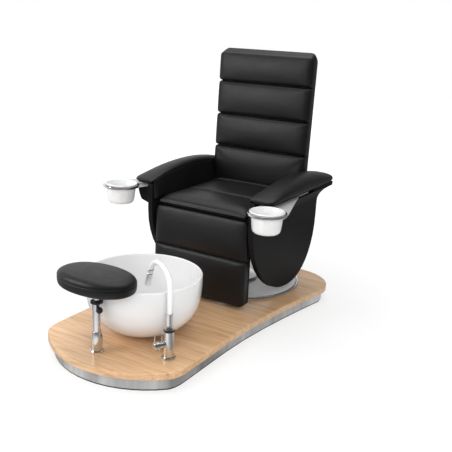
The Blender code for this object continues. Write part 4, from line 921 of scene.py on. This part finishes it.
def footProfile(settings):
    # out along the underside, in and out again at the seam, then over the shoulder to the middle
    high, seam, edge, shoulder = settings["high"], settings["seam"], settings["edge"], settings["shoulder"]
    lip, turns = settings["seamLip"], settings["shoulderTurns"]
    profile = [(reach, settings["low"] + lift) for reach, lift in settings["under"]]
    profile += [(edge - inward, seam - off) for inward, off in lip]
    profile += [(edge - inward, seam + off) for inward, off in reversed(lip)]
    start = seam + lip[0][1]
    for i in range(1, turns + 1):
        swing = 0.5 * math.pi * i / turns
        reach = shoulder + (edge - shoulder) * math.cos(swing)
        profile.append((reach, start + (high - settings["crown"] - start) * math.sin(swing)))
    for part in settings["crownParts"]:
        profile.append((shoulder * part, high - settings["crown"] * part ** settings["crownPower"]))
    return profile


def makeFootPad(settings):
    bm = turnProfile(footProfile(settings), settings["steps"])
    power = 2.0 / settings["roundness"]
    for vert in bm.verts:
        reach = math.hypot(vert.co.x, vert.co.y)
        turn = math.atan2(vert.co.y, vert.co.x)
        c, s = math.cos(turn), math.sin(turn)
        vert.co.x = settings["centre"][0] + reach * settings["halfLength"] * math.copysign(abs(c) ** power, c)
        vert.co.y = settings["centre"][1] + reach * settings["halfDepth"] * math.copysign(abs(s) ** power, s)
    pad = newPiece("footrest_upholstery", bm, blackLeather, "footrest_top", "black_leather", "footrest_pad")
    soften(pad)


makeFootPad(footPad)
print("pads made")


# base disc, a satin plate with a groove inside its polished rim

baseDisc = {
    "centre": (0.0, 0.438), "radius": 0.330, "low": 0.0853, "top": 0.0980, "steps": 160,
    "rim": 0.010, "groove": 0.004, "grooveDepth": 0.003, "plateDrop": 0.0003, "plateRings": (0.22, 0.10, 0.0),
    "rimSlack": 0.0002, "grooveSlack": 0.0005,
}


def makeBaseDisc(settings):
    radius, low, top = settings["radius"], settings["low"], settings["top"]
    inner = radius - settings["rim"]
    plate = inner - settings["groove"]
    bottom, level = top - settings["grooveDepth"], top - settings["plateDrop"]
    profile = [
        (0.0, low), (radius - 0.002, low), (radius - 0.0005, low + 0.0006), (radius, low + 0.002),
        (radius, top - 0.0045), (radius - 0.0012, top - 0.0018), (radius - 0.0035, top - 0.0002),
        (inner + 0.0030, top), (inner + 0.0010, top - 0.0006), (inner, bottom), (plate, bottom),
        (plate - 0.0006, top - 0.0008), (plate - 0.0016, level),
    ]
    profile += [(reach, level) for reach in settings["plateRings"]]
    bm = turnProfile(profile, settings["steps"])
    bmesh.ops.translate(bm, vec=(*settings["centre"], 0.0), verts=bm.verts)
    disc = newPiece("base_disc_turned", bm, polishedDisc, "base", "chrome", "base_disc")
    disc.data.materials.append(brightChrome)
    # the black rubber slot paints shade into the groove
    disc.data.materials.append(blackRubber)
    for face in disc.data.polygons:
        reach = math.hypot(face.center.x - settings["centre"][0], face.center.y - settings["centre"][1])
        if reach > inner - settings["rimSlack"]:
            face.material_index = 1  # chrome rim
        elif reach > plate - settings["grooveSlack"]:
            face.material_index = 2  # dark groove, painted shade: the groove faces get the black rubber finish


makeBaseDisc(baseDisc)
print("base disc turned")


# studio floor, one tone for light, one for reflections and a pale one for the camera

studioFloor = {
    "size": 14.0, "floorTone": 0.74,
    "seenTone": 0.32, "seenGlow": (0.68, 1.0), "seenReach": (0.9, 3.6),
    "mirrorTone": 0.14, "mirrorReach": (1.15, 1.65),
    "nearMirror": [
        (0.0, 0.30), (0.12, 0.16), (0.19, 0.34), (0.24, 0.85), (0.30, 0.85), (0.34, 0.30), (0.39, 0.06),
        (0.45, 0.50), (0.66, 0.75), (0.74, 0.20), (0.88, 0.55), (1.0, 0.30),
    ],
    "farMirror": [
        (0.0, 0.85), (0.08, 0.60), (0.15, 0.24), (0.22, 0.12), (0.34, 0.05), (0.62, 0.08), (0.80, 0.30),
        (1.0, 0.85),
    ],
}


def makeFloor(settings):
    bm = bmesh.new()
    bmesh.ops.create_grid(bm, x_segments=2, y_segments=2, size=settings["size"])
    mesh = bpy.data.meshes.new("studio_floor")
    bm.to_mesh(mesh)
    bm.free()
    floor = bpy.data.objects.new("studio_floor", mesh)
    scene.collection.objects.link(floor)
    material = bpy.data.materials.new("studioFloor")
    material.use_nodes = True
    tree = material.node_tree
    tree.nodes.clear()
    out = addNode(tree, "ShaderNodeOutputMaterial")
    rays = addNode(tree, "ShaderNodeLightPath")
    place = addNode(tree, "ShaderNodeTexCoord").outputs["Object"]
    away = addNode(tree, "ShaderNodeVectorMath", operation="LENGTH")
    wire(tree, place, away.inputs[0])
    bearing = addNode(tree, "ShaderNodeTexGradient", gradient_type="RADIAL")
    wire(tree, place, bearing.inputs["Vector"])

    def mattFloor(tone):
        return addNode(tree, "ShaderNodeBsdfDiffuse", {"Color": (tone, tone, tone, 1.0)}).outputs["BSDF"]

    def glowingFloor(tone, level, socket):
        glow = addNode(tree, "ShaderNodeEmission", {"Color": (1.0, 1.0, 1.0, 1.0)})
        wire(tree, level, glow.inputs[socket])
        both = addNode(tree, "ShaderNodeAddShader")
        wire(tree, mattFloor(tone), both.inputs[0])
        wire(tree, glow.outputs["Emission"], both.inputs[1])
        return both.outputs["Shader"]

    nearMirror = greyRamp(tree, bearing.outputs["Fac"], settings["nearMirror"])
    farMirror = greyRamp(tree, bearing.outputs["Fac"], settings["farMirror"])
    farShare = spanValue(tree, away.outputs["Value"], 0.0, 1.0, settings["mirrorReach"])
    mirrorLevel = mixColours(tree, farShare, nearMirror, farMirror)
    seenLevel = spanValue(tree, away.outputs["Value"], *settings["seenGlow"], settings["seenReach"])
    mirror = glowingFloor(settings["mirrorTone"], mirrorLevel, "Color")
    seen = glowingFloor(settings["seenTone"], seenLevel, "Strength")
    unseen = mixShaders(tree, rays.outputs["Is Glossy Ray"], mattFloor(settings["floorTone"]), mirror)
    wire(tree, mixShaders(tree, rays.outputs["Is Camera Ray"], unseen, seen), out.inputs["Surface"])
    mesh.materials.append(material)


# backdrop, plain white to the camera, and brightest towards brightSide for light and reflections

studioWorld = {
    "brightSide": (-0.82, 0.54, 0.16),
    "litRamp": [(0.0, 0.40), (0.45, 0.46), (0.75, 0.58), (1.0, 0.66)],
    "mirrorRamp": [(0.0, 0.10), (0.60, 0.18), (0.88, 0.42), (0.93, 0.80), (0.98, 1.0)],
}


def makeWorld(settings):
    world = bpy.data.worlds.new("studioWorld")
    scene.world = world
    world.use_nodes = True
    tree = world.node_tree
    tree.nodes.clear()
    out = addNode(tree, "ShaderNodeOutputWorld")
    rays = addNode(tree, "ShaderNodeLightPath")
    way = addNode(tree, "ShaderNodeTexCoord")
    facing = addNode(tree, "ShaderNodeVectorMath", operation="DOT_PRODUCT")
    facing.inputs[1].default_value = settings["brightSide"]
    wire(tree, way.outputs["Generated"], facing.inputs[0])
    share = spanValue(tree, facing.outputs["Value"], 0.0, 1.0, (-1.0, 1.0))

    def backdrop(stops):
        light = addNode(tree, "ShaderNodeBackground")
        wire(tree, greyRamp(tree, share, stops), light.inputs["Color"])
        return light.outputs["Background"]

    seen = addNode(tree, "ShaderNodeBackground", {"Color": (1.0, 1.0, 1.0, 1.0), "Strength": 1.0})
    lit, mirrored = backdrop(settings["litRamp"]), backdrop(settings["mirrorRamp"])
    unseen = mixShaders(tree, rays.outputs["Is Glossy Ray"], lit, mirrored)
    shown = mixShaders(tree, rays.outputs["Is Camera Ray"], unseen, seen.outputs["Background"])
    wire(tree, shown, out.inputs["Surface"])


softboxes = {
    "keyBox": {
        "place": (-1.6, -2.1, 1.6), "aim": (0.0, 0.1, 0.5), "size": 1.5, "power": 36.0, "gleam": True,
    },
    "topBox": {
        "place": (-0.2, 0.3, 3.1), "aim": (0.0, 0.1, 0.4), "size": 2.8, "power": 46.0, "gleam": True,
    },
    "fillBox": {
        "place": (2.0, -2.4, 1.8), "aim": (0.0, 0.0, 0.5), "size": 1.8, "power": 54.0, "gleam": False,
    },
}


def addSoftbox(name, settings):
    lamp = bpy.data.lights.new(name, "AREA")
    lamp.shape = "SQUARE"
    lamp.size = settings["size"]
    lamp.energy = settings["power"]
    box = bpy.data.objects.new(name, lamp)
    box.location = settings["place"]
    aim = Vector(settings["aim"]) - Vector(settings["place"])
    box.rotation_euler = aim.to_track_quat("-Z", "Y").to_euler()
    box.visible_glossy = settings["gleam"]  # without gleam it leaves no highlight
    scene.collection.objects.link(box)


makeFloor(studioFloor)
makeWorld(studioWorld)
for name, settings in softboxes.items():
    addSoftbox(name, settings)


# camera at the photograph's stand point

viewPoint = {
    "place": (1.660, -2.571, 1.373), "right": (0.8544, 0.5176, 0.0468), "up": (-0.1846, 0.2181, 0.9583),
    "lens": 54.12, "sensor": 36.0, "shift": (0.0082, 0.001),
}


def makeCamera(settings):
    lens = bpy.data.cameras.new("standPoint")
    lens.lens = settings["lens"]
    lens.sensor_width = settings["sensor"]
    lens.shift_x, lens.shift_y = settings["shift"]
    camera = bpy.data.objects.new("standPoint", lens)
    right = Vector(settings["right"]).normalized()
    up = Vector(settings["up"])
    back = right.cross(up).normalized()
    up = back.cross(right)
    turn = Matrix((right, up, back)).transposed().to_4x4()
    camera.matrix_world = Matrix.Translation(Vector(settings["place"])) @ turn
    scene.collection.objects.link(camera)
    scene.camera = camera


makeCamera(viewPoint)
scene.view_settings.view_transform = "Standard"
print("studio and camera set")
